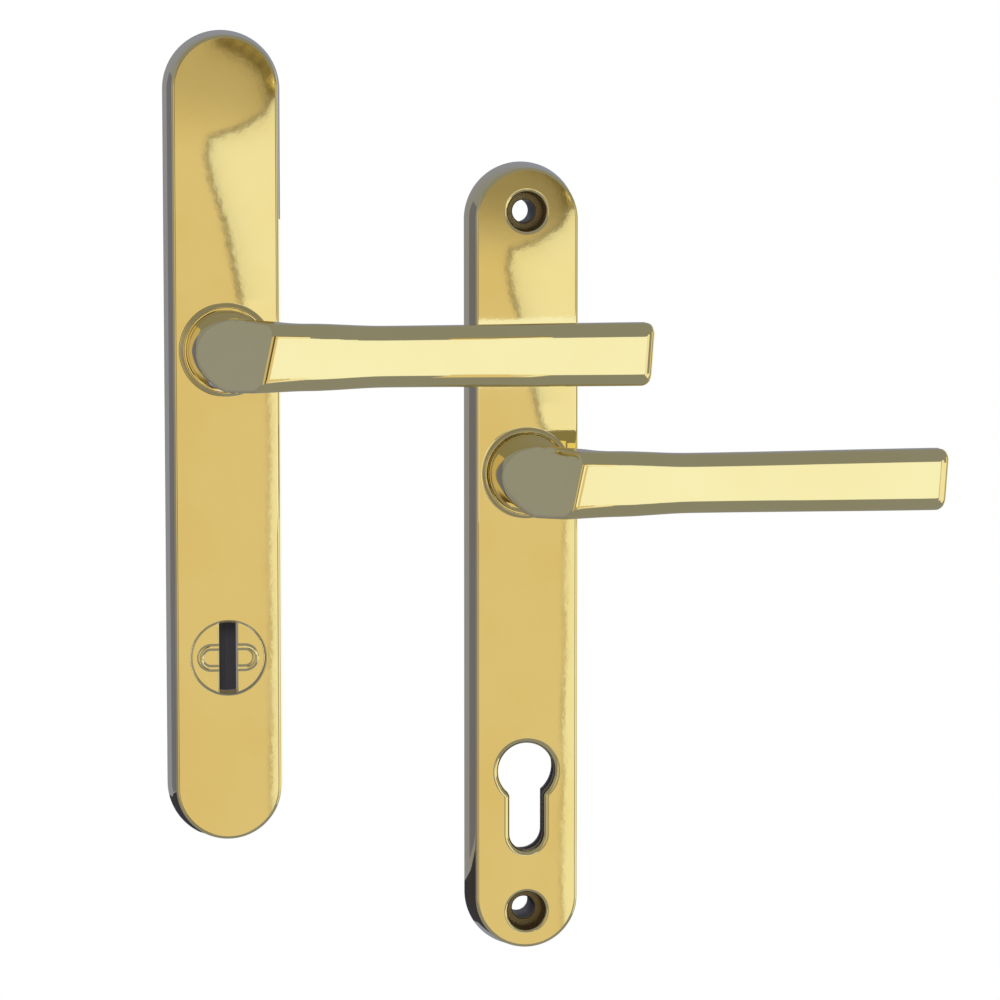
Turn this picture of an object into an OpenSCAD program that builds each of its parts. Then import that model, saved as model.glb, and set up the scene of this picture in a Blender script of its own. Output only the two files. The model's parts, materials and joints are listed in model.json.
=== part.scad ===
// Pair of security lever handles on long backplates, for a door with a euro profile cylinder.
// The outside half hides its fixings and has a rotating cylinder guard. The inside half has two
// screw holes and an open cylinder cut-out. The halves stand side by side, both facing -Y, with
// the outside half a step in front so that the two levers pass each other.
// Origin: spindle axis of the outside half, on its back plane. +X along the levers, +Z up.
// Each half is drawn in its own frame: x along the lever, y up the plate, z out from the door.

/* [Backplate] */
// Length of each backplate at the door
plate_l = 243; // [236:1:300]
// Width of each backplate at the door
plate_w = 35; // [34.5:0.5:46]
// Depth of each backplate, from the door to its front face
plate_d = 13; // [13:0.5:20]
// How far the sides lean in from the back to the front
plate_draft = 1.7; // [0.5:0.1:2]
// Chamfer along the front edge
plate_edge = 0.7; // [0.3:0.1:1]
// Thickness of the cover's front wall
front_wall = 3; // [2.5:0.1:4]
// Thickness of the cover's side wall at the door
side_wall = 2.9; // [2.6:0.1:3.2]

/* [Positions] */
// From the top of the backplate down to the spindle
spindle_from_top = 94.5; // [92:0.5:110]
// From the spindle down to the centre of the lock cylinder
cylinder_pitch = 92; // [84:1:96]
// From the spindle up to the top fixing
fixing_above = 79.5; // [70:0.5:84]
// Between the two fixings
fixing_pitch = 215; // [208:1:222]
// Sideways step from the outside half to the inside half
pair_right = 93; // [60:1:150]
// Downward step from the outside half to the inside half
pair_down = 39.3; // [0:0.1:80]
// How far the inside half stands behind the outside half
pair_back = 16; // [15:0.5:60]

/* [Lever] */
// From the spindle axis to the tip of the lever
lever_reach = 120; // [80:1:150]
// From the door to the front of the grip
lever_out = 59; // [54:0.5:70]
// Height of the grip at its waist
grip_h = 17.6; // [14:0.1:22]
// How much taller the grip is at its tip
grip_flare = 0.8; // [0:0.1:3]
// Thickness of the grip
grip_t = 11; // [8:0.5:13]
// Rounding along the grip's edges
grip_round = 3.7; // [2:0.1:5]
// Radius of the round neck at the plate
neck_r = 12.2; // [11.8:0.1:13]
// Radius of the round neck where it starts to bend
neck_top_r = 10.6; // [10:0.1:13]
// Radius of the neck's inside bend
bend_r = 9; // [6:0.5:12]
// Where the outside corner's facet starts, out from the plate's face
facet_start = 17; // [8:0.5:22]
// Angle of the facet from the plate's face
facet_angle = 56; // [40:1:60]
// Sideways lean of the facet's edge on the grip
facet_lean = 12; // [0:1:20]
// Rounding of the grip's end
tip_round = 2.8; // [1:0.1:4]
// How far the lever turns down from level
turn_down = 40; // [20:1:45]
// How far the lever lifts up from level
turn_up = 60; // [30:1:60]

/* [Bearing and drive] */
// Radius of the lever's shank
shank_r = 8; // [7.5:0.1:8.4]
// Across the shank's two flats
shank_flats = 13; // [12:0.1:14]
// Side of the square spindle
spindle_side = 8; // [7:0.5:8]
// Radial running clearance of the shank
run_gap = 0.04; // [0.02:0.01:0.08]
// Wall of the nylon bush
bush_wall = 2; // [1.5:0.1:2.4]
// Thickness of the bush's flange
bush_flange_t = 1; // [0.8:0.1:1.5]
// Radius of the raised collar around the neck
collar_r = 13.5; // [13.3:0.1:14.4]
// Height of the raised collar
collar_h = 1.5; // [1.2:0.1:2]
// Radius of the drive cam
cam_r = 10.2; // [9.8:0.1:10.4]
// Thickness of the drive cam
cam_t = 2.2; // [1.8:0.1:2.6]
// Half the angle of the cam's stop lug
lug_half = 12; // [10:1:15]
// Wire of the return spring
spring_wire = 1.2; // [1:0.1:1.4]

/* [Base] */
// Thickness of the foam gasket
gasket_t = 1; // [0.8:0.1:1.4]
// Width of the foam gasket
gasket_w = 2.2; // [1.6:0.1:2.6]
// Thickness of the base's floor
floor_t = 1.6; // [1.4:0.1:2.2]
// How far the fixing tubes and pillars stand out behind the door plane
peg_out = 7; // [4:0.5:12]
// Radius of the screw clearance holes
screw_r = 3.5; // [2.75:0.05:3.6]
// Radius of the screw head's counterbore
counterbore_r = 5.9; // [5.5:0.1:6.4]
// Tapping radius of the threaded pillars
thread_r = 2.5; // [2.1:0.1:2.5]

/* [Cylinder and guard] */
// Radius of a euro cylinder's round part
euro_r = 8.5; // [8.5:0.1:8.7]
// Width of a euro cylinder's lower part
euro_w = 10; // [10:0.1:10.2]
// Height of a euro cylinder
euro_h = 33; // [33:0.1:33.4]
// Clearance around the cylinder
euro_gap = 0.15; // [0.1:0.05:0.3]
// Radius of the guard's visible disc
rotor_r = 11; // [10.4:0.1:11.2]
// Radius of the guard's hidden flange
rotor_flange_r = 12.8; // [12.6:0.1:13]
// Thickness of the guard's flange
rotor_flange_t = 1.6; // [1.4:0.1:2]
// How far the disc lies below the plate's face
rotor_recess = 0.8; // [0.4:0.1:1.2]
// Width of the key slot
key_slot_w = 5.4; // [4.6:0.1:6]
// Thickness of the rubber key seal
seal_t = 1.2; // [0.8:0.1:1.4]
// Slit between the seal's two lips
seal_slit = 0.1; // [0.05:0.05:0.3]

/* [Hidden] */
$fn = 64;
eps = 0.01;

brass = [0.85, 0.70, 0.36];
dark_nylon = [0.25, 0.24, 0.26];
steel = [0.62, 0.63, 0.65];
white_nylon = [0.88, 0.87, 0.83];
rubber = [0.13, 0.13, 0.14];

// Places along the plate
end_r = plate_w / 2;
top_arc_y = spindle_from_top - end_r;
bottom_arc_y = spindle_from_top + end_r - plate_l;
fixing_ys = [fixing_above, fixing_above - fixing_pitch];
cyl_y = -cylinder_pitch;

// Layers out from the door
fit_gap = 0.15;                              // between pieces that drop into each other
layer_gap = 0.05;                            // between pieces stacked face to face
inner_z = plate_d - front_wall;
floor_z = gasket_t + floor_t;
cavity_r = end_r - side_wall;
base_r = cavity_r - fit_gap;

// Spring pocket, cam and shank
pocket_wall = 1.3;
pocket_r = base_r - pocket_wall;
pocket_floor_z = floor_z + 1.8;
bearing_t = 1.6;                             // floor left around the shank's rear end
recess_z = pocket_floor_z - bearing_t;
cam_top_z = inner_z - 0.2;
cam_z = cam_top_z - cam_t;
cam_gap = 0.3;
lug_r = pocket_r - cam_gap;
lug_dir = -90;                               // the lug hangs straight down at rest
stop_slack = 0.5;                            // degrees left before the lug meets its stop
finger_t = 0.8;
finger_half = 1.5;
coil_r = cam_r;
coil_outer = coil_r + spring_wire / 2;
finger_r = coil_outer + 0.2;
post_r = finger_r + finger_t + 0.2;
shank_end_z = 0.9;
washer_t = 0.5;
clip_t = 0.9;
washer_z = recess_z - layer_gap - washer_t;
clip_z = washer_z - layer_gap - clip_t;
groove_depth = 0.8;
groove_r = shank_r - groove_depth;
clip_r = shank_r + 2.2;
recess_r = clip_r + 1;

// Bush and neck
bush_r = shank_r + run_gap + bush_wall;
neck_gap = 0.3;
neck_z = plate_d + bush_flange_t + 0.1;
bush_flange_r = neck_r - 0.4;

// Cover posts that take the base screws
post_screw_r = 1.5;
post_head_r = 2.8;
post_outer_r = 3.2;
post_core_r = 1.25;
post_core_t = 5;

// Guard housing
housing_up = 20;
housing_down = 28;
housing_top_y = cyl_y + housing_up;
housing_bottom_y = cyl_y - housing_down;
rotor_gap = 0.15;
rotor_back_z = inner_z - 0.2 - rotor_flange_t;
wave_t = 0.5;
shoulder_z = rotor_back_z - wave_t - 2 * layer_gap;
seal_r = rotor_r - 0.1;
seal_bore_r = rotor_r + 0.3;
seal_z = rotor_back_z - seal_t;
seal_floor_z = seal_z - 0.2;
pin_r = 1.4;
pin_gap = 0.02;
pin_x = (euro_r + euro_gap + base_r) / 2;
pin_z = (floor_z + seal_floor_z) / 2;
pin_l = 42;

post_ys = [pocket_r + 16, fixing_above - 21, -(pocket_r + 23), housing_top_y + 9];

// Screw cups of the inside cover, and the tubes behind them
cup_floor_t = 1.5;
cup_floor_z = plate_d / 2;
cup_r = counterbore_r + 1.5;
flare_w = 1;
tube_r = screw_r + 1.5;
tube_top_z = cup_floor_z - cup_floor_t - layer_gap;

// Threaded pillars of the outside base
pillar_r = thread_r + 2;
pillar_flange_r = pillar_r + 1.7;
pillar_flange_t = 1.5;
pillar_top_z = inner_z - layer_gap;
thread_l = peg_out + pillar_top_z - 2;

// Lever sections
section_points = 48;
facet_exponent = 12;                         // how sharply the facet's edges turn
grip_back = lever_out - grip_t;
bend_x = neck_top_r + bend_r;
bend_z = grip_back - bend_r;
facet_z = plate_d + facet_start;
bend_square = 10;                            // how squarely the outside of the bend turns
bend_soften = 0.6;                           // share of the bend over which its section loses its roundness
bend_h = 1.6;                                // how much taller the grip is where it leaves the bend
waist_x = 42;                                // along the lever, to the grip's narrowest place
grip_bow = 1.5;                              // how far the tip curves back towards the door
tip_slant = 0.07;                            // lean of the end face, sideways per unit of height
neck_lip = 0.4;

// A half's own frame to the pair's frame
module outside_half() rotate([90, 0, 0]) children();
module inside_half() translate([pair_right, pair_back, -pair_down]) rotate([90, 0, 0]) children();

// Round-ended block along the plate, from z0 to z1
module stadium(r, z0, z1, y0 = bottom_arc_y, y1 = top_arc_y) {
    for (y = [y0, y1])
        translate([0, y, z0]) cylinder(r = r, h = z1 - z0);
    translate([-r, y0, z0]) cube([2 * r, y1 - y0, z1 - z0]);
}

// Round-ended block whose sides lean from radius r0 at z0 to r1 at z1
module leaning_stadium(r0, r1, z0, z1, y0 = bottom_arc_y, y1 = top_arc_y) {
    for (y = [y0, y1])
        translate([0, y, z0]) cylinder(r1 = r0, r2 = r1, h = z1 - z0);
    translate([0, y1, 0]) rotate([90, 0, 0]) linear_extrude(height = y1 - y0)
        polygon([[-r0, z0], [r0, z0], [r1, z1], [-r1, z1]]);
}

// Cylinder between two heights
module disc(r, z0, z1) translate([0, 0, z0]) cylinder(r = r, h = z1 - z0);

// Pie slice of a cylinder, from angle a0 to a1
module slice(r, a0, a1, z0, z1) {
    steps = ceil((a1 - a0) / 45);
    intersection() {
        disc(r, z0, z1);
        translate([0, 0, z0 - 1]) linear_extrude(height = z1 - z0 + 2)
            polygon(concat([[0, 0]], [for (i = [0:steps])
                let (a = a0 + (a1 - a0) * i / steps) 2 * r * [cos(a), sin(a)]]));
    }
}

// Outline of a euro cylinder grown by gap, between two heights
module euro_prism(gap, z0, z1) {
    lobe_r = euro_w / 2 + gap;
    lobe_y = cyl_y + euro_r - euro_h + euro_w / 2;
    translate([0, cyl_y, 0]) disc(euro_r + gap, z0, z1);
    translate([0, lobe_y, 0]) disc(lobe_r, z0, z1);
    translate([-lobe_r, lobe_y, z0]) cube([2 * lobe_r, cyl_y - lobe_y, z1 - z0]);
}

// The same outline opening out towards the face, for the rolled edge of the cut-out
module euro_flare(gap, grow, z0, z1) {
    lobe_r = euro_w / 2 + gap;
    lobe_y = cyl_y + euro_r - euro_h + euro_w / 2;
    translate([0, cyl_y, z0]) cylinder(r1 = euro_r + gap, r2 = euro_r + gap + grow, h = z1 - z0);
    translate([0, lobe_y, z0]) cylinder(r1 = lobe_r, r2 = lobe_r + grow, h = z1 - z0);
    translate([0, cyl_y, 0]) rotate([90, 0, 0]) linear_extrude(height = cyl_y - lobe_y)
        polygon([[-lobe_r, z0], [lobe_r, z0], [lobe_r + grow, z1], [-lobe_r - grow, z1]]);
}

// Hollow cast cover with its collar and screw posts
module cover_body() {
    edge_z = plate_d - plate_edge;
    difference() {
        union() {
            difference() {
                union() {
                    leaning_stadium(end_r, end_r - plate_draft, 0, edge_z);
                    leaning_stadium(end_r - plate_draft, end_r - plate_draft - plate_edge,
                                    edge_z, plate_d);
                }
                stadium(cavity_r, -1, inner_z);
            }
            for (y = post_ys)
                translate([0, y, 0]) disc(post_outer_r, floor_z + layer_gap, inner_z + 1);
            collar_ring();
        }
        disc(bush_r, inner_z - 1, plate_d + collar_h + 1);
        for (y = post_ys)
            translate([0, y, 0]) disc(post_core_r, 0, floor_z + post_core_t);
    }
}

// Raised collar that hides the bush's flange
module collar_ring() {
    inner = neck_r + neck_gap;
    top = plate_d + collar_h;
    soft = 0.8;
    rotate_extrude() polygon(concat(
        [[inner, inner_z + 1], [collar_r, inner_z + 1]],
        [for (i = [0:3]) [collar_r - soft * (1 - cos(30 * i)), top - soft * (1 - sin(30 * i))]],
        [[inner, top]]));
}

module outside_cover() color(brass) difference() {
    cover_body();
    translate([0, cyl_y, 0]) disc(rotor_r + rotor_gap, inner_z - 1, plate_d + 1);
}

module inside_cover() color(brass) difference() {
    union() {
        cover_body();
        for (y = fixing_ys)
            translate([0, y, 0]) disc(cup_r, cup_floor_z - cup_floor_t, inner_z + 1);
    }
    for (y = fixing_ys) translate([0, y, 0]) {
        disc(screw_r, 0, plate_d);
        disc(counterbore_r, cup_floor_z, plate_d + 1);
        translate([0, 0, plate_d - flare_w])
            cylinder(r1 = counterbore_r, r2 = counterbore_r + flare_w + eps, h = flare_w + eps);
    }
    euro_prism(euro_gap, inner_z - 1, plate_d + 1);
    euro_flare(euro_gap, 1.6, plate_d - 1.2, plate_d + eps);
}

// Moulded base: floor, rim, spring pocket and screw seats
module base_body() {
    rim_t = 1.2;
    rim_z = floor_z + 2.4;
    difference() {
        union() {
            stadium(base_r, gasket_t, floor_z);
            difference() {
                stadium(base_r, floor_z, rim_z);
                stadium(base_r - rim_t, floor_z - 1, rim_z + 1);
            }
            disc(base_r, floor_z, cam_top_z);
        }
        difference() {
            disc(pocket_r, pocket_floor_z, cam_z);
            spring_post();
        }
        disc(cam_r + cam_gap, cam_z - eps, cam_top_z + 1);
        slice(pocket_r, lug_dir - turn_down - lug_half - stop_slack,
              lug_dir + turn_up + lug_half + stop_slack, cam_z - eps, cam_top_z + 1);
        disc(shank_r + run_gap, 0, pocket_floor_z + 1);
        disc(recess_r, 0, recess_z);
        for (y = post_ys) translate([0, y, 0]) {
            disc(post_screw_r + 0.1, 0, floor_z + 1);
            translate([0, 0, gasket_t - eps])
                cylinder(r1 = post_head_r + fit_gap, r2 = post_screw_r + fit_gap, h = 1.3);
        }
    }
}

// Fixed post that holds the idle leg of the spring
module spring_post() {
    translate([-finger_half, -pocket_r - 1, pocket_floor_z - 1])
        cube([2 * finger_half, pocket_r + 1 - post_r, cam_z - 0.3 - pocket_floor_z + 1]);
}

module outside_base() color(dark_nylon) difference() {
    base_body();
    for (y = fixing_ys)
        translate([0, y, 0]) disc(pillar_r + 0.02, 0, floor_z + 1);
    euro_prism(euro_gap + 0.5, 0, floor_z + 1);
    translate([-base_r - 1, housing_bottom_y - fit_gap, floor_z])
        cube([2 * base_r + 2, housing_up + housing_down + 2 * fit_gap, inner_z]);
}

module inside_base() color(dark_nylon) difference() {
    union() {
        base_body();
        for (y = fixing_ys)
            translate([0, y, 0]) disc(tube_r, -peg_out, tube_top_z);
    }
    for (y = fixing_ys)
        translate([0, y, 0]) disc(screw_r, -peg_out - 1, tube_top_z + 1);
    euro_prism(euro_gap + 1, 0, inner_z);
}

// Foam ring that seals the base to the door
module gasket() color(rubber) difference() {
    stadium(base_r, 0, gasket_t);
    stadium(base_r - gasket_w, -1, gasket_t + 1);
}

// Countersunk screws that hold the base to the cover's posts
module base_screws() color(steel) for (y = post_ys) translate([0, y, gasket_t]) difference() {
    union() {
        cylinder(r1 = post_head_r, r2 = post_screw_r - 0.1, h = 1.3);
        cylinder(r = post_core_r - 0.02, h = floor_t + post_core_t - 0.6);
    }
    translate([-2, -0.35, -1]) cube([4, 0.7, 1.6]);
    translate([-0.35, -2, -1]) cube([0.7, 4, 1.6]);
}

// Threaded steel pillars that take the bolts from the other side of the door
module fixing_pillars() color(steel) for (y = fixing_ys) translate([0, y, 0]) difference() {
    union() {
        disc(pillar_r, -peg_out, pillar_top_z);
        disc(pillar_flange_r, floor_z + layer_gap, floor_z + layer_gap + pillar_flange_t);
    }
    disc(thread_r, -peg_out - 1, -peg_out + thread_l);
}

// Eased step from 0 to 1
function ease(t) = let (u = max(0, min(1, t))) u * u * (3 - 2 * u);

// Half height of the grip at x
function grip_half(x) = grip_h / 2
    + bend_h / 2 * (1 - ease((x - bend_x) / (waist_x - bend_x)))
    + grip_flare / 2 * ease((x - waist_x) / (lever_reach - waist_x));

// How far the rounded end has drawn in at x
function end_draw(x) = let (u = max(0, x - lever_reach + tip_round) / tip_round)
    tip_round * (1 - sqrt(max(0, 1 - u * u)));

// A station is [centre x, centre z, outward x, outward z, inner half thickness, half height, rounding,
// outer half thickness]
neck_steps = 7;
bend_steps = 10;
grip_steps = 9;
tip_steps = 5;
neck_stations = concat(
    [let (r = neck_r - neck_lip) [0, neck_z, -1, 0, r, r, r, r]],
    [for (i = [0:neck_steps - 1])
        let (t = i / neck_steps, r = neck_r + (neck_top_r - neck_r) * t)
            [0, neck_z + neck_lip + (bend_z - neck_z - neck_lip) * t, -1, 0, r, r, r, r]]);
bend_stations = [for (i = [0:bend_steps])
    let (a = 90 * i / bend_steps, k = ease(i / bend_steps),
         half = neck_top_r + (grip_t / 2 - neck_top_r) * k, reach = bend_r + half,
         outer = pow(pow(cos(a) / (bend_r + 2 * neck_top_r), bend_square)
                     + pow(sin(a) / (bend_r + grip_t), bend_square), -1 / bend_square))
        [bend_x - reach * cos(a), bend_z + reach * sin(a), -cos(a), sin(a), half,
         neck_top_r + (grip_half(bend_x) - neck_top_r) * k,
         neck_top_r + (grip_round - neck_top_r) * ease(i / bend_steps / bend_soften), outer - reach]];
grip_stations = [for (i = [1:grip_steps + tip_steps])
    let (straight = lever_reach - tip_round - bend_x,
         x = i <= grip_steps ? bend_x + straight * i / grip_steps
           : lever_reach - tip_round * (1 - sin(90 * (i - grip_steps) / tip_steps)),
         t = (x - bend_x) / (lever_reach - bend_x), d = end_draw(x))
        [x, grip_back + grip_t / 2 - grip_bow * t * t, 0, 1,
         grip_t / 2 - d, grip_half(x) - d, max(0.3, grip_round - d), grip_t / 2 - d]];
stations = concat(neck_stations, bend_stations, grip_stations);

// Distance from the middle of a rounded rectangle to its edge, in the direction c, v
function edge_distance(a, b, round, c, v) = let (x = abs(c), y = abs(v))
    x * (b - round) >= y * a ? a / x
    : y * (a - round) >= x * b ? b / y
    : let (cx = a - round, cy = b - round, along = cx * x + cy * y)
        along + sqrt(max(0, along * along - cx * cx - cy * cy + round * round));

// Point of a station's outline at angle a, with the facet cut off softly
facet_normal = [-sin(facet_angle), tan(facet_lean) * sin(facet_angle), cos(facet_angle)];
function section_point(s, a) = let (c = cos(a), v = sin(a),
    plain = edge_distance(c > 0 ? s[7] : s[4], s[5], s[6], c, v),
    room = facet_normal * ([-neck_r, 0, facet_z] - [s[0], 0, s[1]]),
    cut = max(0, facet_normal * [s[2] * c, v, s[3] * c]) / room,
    r = pow(pow(1 / plain, facet_exponent) + pow(cut, facet_exponent), -1 / facet_exponent),
    slant = tip_slant * ease((s[0] - waist_x) / (lever_reach - waist_x)))
    [s[0] + s[2] * r * c + slant * r * v, r * v, s[1] + s[3] * r * c];

// Neck, bend and grip of the lever as one swept form
module lever_form() {
    n = section_points;
    last = len(stations) - 1;
    points = [for (s = stations, i = [0:n - 1]) section_point(s, 360 * i / n)];
    sides = [for (k = [0:last - 1], i = [0:n - 1], half = [0, 1])
        let (a = k * n + i, b = k * n + (i + 1) % n)
            half == 0 ? [a, b, b + n] : [a, b + n, a + n]];
    polyhedron(points, concat(sides, [[for (i = [n - 1:-1:0]) i]],
                              [[for (i = [0:n - 1]) last * n + i]]), convexity = 6);
}

// Cast lever with its flatted shank, circlip groove and square spindle socket
module lever() color(brass) difference() {
    union() {
        lever_form();
        disc(shank_r, inner_z - layer_gap, neck_z + 2);
        intersection() {
            union() {
                disc(shank_r, shank_end_z, clip_z - layer_gap);
                disc(groove_r, shank_end_z, inner_z);
                disc(shank_r, clip_z + clip_t + layer_gap, inner_z);
            }
            translate([-shank_flats / 2, -shank_r - 1, 0])
                cube([shank_flats, 2 * shank_r + 2, plate_d]);
        }
    }
    translate([-spindle_side / 2 - 0.05, -spindle_side / 2 - 0.05, 0])
        cube([spindle_side + 0.1, spindle_side + 0.1, neck_z + 10]);
}

// Flanged nylon bush between the cover and the lever's shank
module lever_bush() color(white_nylon) difference() {
    union() {
        disc(bush_r, inner_z, plate_d);
        disc(bush_flange_r, plate_d, plate_d + bush_flange_t);
    }
    disc(shank_r + run_gap, inner_z - 1, neck_z + 1);
}

// Cam on the shank's flats, with a stop lug and a finger that winds the spring
module drive_cam() color(steel) difference() {
    union() {
        disc(cam_r, cam_z, cam_top_z);
        slice(lug_r, lug_dir - lug_half, lug_dir + lug_half, cam_z, cam_top_z);
        translate([-finger_half, -finger_r - finger_t, pocket_floor_z + 0.3])
            cube([2 * finger_half, finger_t, cam_z - pocket_floor_z]);
    }
    intersection() {
        disc(shank_r + 0.02, cam_z - 1, cam_top_z + 1);
        translate([-shank_flats / 2 - 0.02, -shank_r - 1, cam_z - 1])
            cube([shank_flats + 0.04, 2 * shank_r + 2, cam_t + 2]);
    }
}

// Torsion spring: two and a bit turns, with a leg on each side of the finger and the post
spring_turns = 2;
spring_rings_per_turn = 24;
spring_sides = 8;
leg_angle = asin((finger_half + spring_wire / 2 + 0.08) / (finger_r + finger_t));
leg_end_r = pocket_r - 0.4;
spring_low_z = pocket_floor_z + spring_wire / 2 + 0.1;
spring_high_z = cam_z - spring_wire / 2 - 0.1;
spring_start = lug_dir + leg_angle;
spring_sweep = 360 * spring_turns - 2 * leg_angle;
function on_circle(r, a, z) = [r * cos(a), r * sin(a), z];
spring_path = concat([on_circle(leg_end_r, spring_start, spring_low_z)],
    [for (i = [0:spring_rings_per_turn * spring_turns])
        let (t = i / (spring_rings_per_turn * spring_turns))
            on_circle(coil_r, spring_start + spring_sweep * t,
                      spring_low_z + (spring_high_z - spring_low_z) * t)],
    [on_circle(leg_end_r, spring_start + spring_sweep, spring_high_z)]);

module return_spring() color(steel) {
    n = spring_sides;
    last = len(spring_path) - 1;
    points = [for (k = [0:last]) let (
        t = spring_path[min(last, k + 1)] - spring_path[max(0, k - 1)],
        forward = t / norm(t), side_raw = cross(forward, [0, 0, 1]),
        side = side_raw / norm(side_raw), up = cross(side, forward))
        for (i = [0:n - 1]) spring_path[k]
            + spring_wire / 2 * (cos(360 * i / n) * side + sin(360 * i / n) * up)];
    faces = [for (k = [0:last - 1], i = [0:n - 1], half = [0, 1])
        let (a = k * n + i, b = k * n + (i + 1) % n)
            half == 0 ? [a, b, b + n] : [a, b + n, a + n]];
    polyhedron(points, concat(faces, [[for (i = [n - 1:-1:0]) i]],
                              [[for (i = [0:n - 1]) last * n + i]]), convexity = 8);
}

// Washer between the circlip and the base
module thrust_washer() color(steel) difference() {
    disc(clip_r + 0.5, washer_z, washer_z + washer_t);
    disc(shank_r + 0.1, washer_z - 1, washer_z + washer_t + 1);
}

// Circlip in the shank's groove, open at the top, with its two eyes
module circlip() color(steel) {
    eye_r = 1.3;
    eye_hole_r = 0.6;
    eye_out = clip_r - 0.6;
    mouth = 24;
    eye_turn = mouth + 10;
    difference() {
        union() {
            disc(clip_r, clip_z, clip_z + clip_t);
            for (side = [-1, 1])
                rotate([0, 0, 90 + side * eye_turn])
                    translate([eye_out, 0, 0]) disc(eye_r, clip_z, clip_z + clip_t);
        }
        disc(groove_r + 0.02, clip_z - 1, clip_z + clip_t + 1);
        slice(2 * clip_r, 90 - mouth, 90 + mouth, clip_z - 1, clip_z + clip_t + 1);
        for (side = [-1, 1])
            rotate([0, 0, 90 + side * eye_turn])
                translate([eye_out, 0, 0]) disc(eye_hole_r, clip_z - 1, clip_z + clip_t + 1);
    }
}

// Raised bead on the guard's disc, a long oval across the key slot
module guard_bead(half_l, half_h, z0, z1) {
    for (side = [-1, 1])
        translate([side * (half_l - half_h), 0, 0]) disc(half_h, z0, z1);
    translate([half_h - half_l, -half_h, z0]) cube([2 * (half_l - half_h), 2 * half_h, z1 - z0]);
}

// Rotating steel disc of the guard, with its key slot
module guard_rotor() color(brass) translate([0, cyl_y, 0]) {
    face_z = plate_d - rotor_recess;
    bead_t = 0.4;
    bead_l = rotor_r - 1.7;
    bead_h = 4.2;
    bead_w = 2;
    difference() {
        union() {
            disc(rotor_r, rotor_back_z, face_z);
            disc(rotor_flange_r, rotor_back_z, rotor_back_z + rotor_flange_t);
            difference() {
                guard_bead(bead_l, bead_h, face_z - eps, face_z + bead_t);
                guard_bead(bead_l - bead_w, bead_h - bead_w, face_z - 1, face_z + bead_t + 1);
            }
        }
        translate([-key_slot_w / 2, -rotor_r - 1, rotor_back_z + rotor_flange_t])
            cube([key_slot_w, 2 * rotor_r + 2, plate_d]);
        intersection() {
            disc(seal_r - 0.8, rotor_back_z - 1, plate_d);
            translate([-key_slot_w / 2, -rotor_r, rotor_back_z - 1])
                cube([key_slot_w, 2 * rotor_r, plate_d]);
        }
    }
}

// Two rubber lips behind the slot, which part for the key
module guard_key_seal() color(rubber) translate([0, cyl_y, 0]) difference() {
    disc(seal_r, seal_z, rotor_back_z);
    translate([-seal_slit / 2, -seal_r - 1, seal_z - 1])
        cube([seal_slit, 2 * seal_r + 2, seal_t + 2]);
}

// Spring washer that holds the guard's flange forward
module guard_wave_washer() color(steel) translate([0, cyl_y, 0]) difference() {
    disc(rotor_flange_r, shoulder_z + layer_gap, shoulder_z + layer_gap + wave_t);
    disc(seal_bore_r, shoulder_z - 1, rotor_back_z + 1);
}

// Hardened block that carries the guard and surrounds the end of the cylinder
module guard_housing() color(steel) difference() {
    translate([-base_r, housing_bottom_y, floor_z + layer_gap])
        cube([2 * base_r, housing_up + housing_down, inner_z - floor_z - 2 * layer_gap]);
    translate([0, cyl_y, 0]) {
        disc(rotor_flange_r + fit_gap, shoulder_z, inner_z + 1);
        disc(seal_bore_r, seal_floor_z, inner_z + 1);
    }
    euro_prism(euro_gap, floor_z - 1, inner_z);
    for (side = [-1, 1])
        translate([side * pin_x, housing_bottom_y - 1, pin_z]) rotate([-90, 0, 0])
            cylinder(r = pin_r + pin_gap, h = pin_l + 2);
}

// Hard pins pressed into the housing on each side of the cylinder
module guard_drill_pins() color(steel) for (side = [-1, 1])
    translate([side * pin_x, housing_bottom_y + 0.5, pin_z]) rotate([-90, 0, 0])
        cylinder(r = pin_r, h = pin_l - 0.5);

outside_half() outside_cover();
outside_half() outside_base();
outside_half() gasket();  // outside_gasket
outside_half() base_screws();  // outside_base_screws
outside_half() fixing_pillars();  // outside_fixing_pillars
outside_half() lever();  // outside_lever
outside_half() lever_bush();  // outside_lever_bush
outside_half() drive_cam();  // outside_drive_cam
outside_half() return_spring();  // outside_return_spring
outside_half() thrust_washer();  // outside_thrust_washer
outside_half() circlip();  // outside_circlip
outside_half() guard_rotor();
outside_half() guard_key_seal();
outside_half() guard_wave_washer();
outside_half() guard_housing();
outside_half() guard_drill_pins();
inside_half() inside_cover();
inside_half() inside_base();
inside_half() gasket();  // inside_gasket
inside_half() base_screws();  // inside_base_screws
inside_half() lever();  // inside_lever
inside_half() lever_bush();  // inside_lever_bush
inside_half() drive_cam();  // inside_drive_cam
inside_half() return_spring();  // inside_return_spring
inside_half() thrust_washer();  // inside_thrust_washer
inside_half() circlip();  // inside_circlip
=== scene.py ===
"""Looks for a pair of polished brass security door handles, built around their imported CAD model."""

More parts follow.
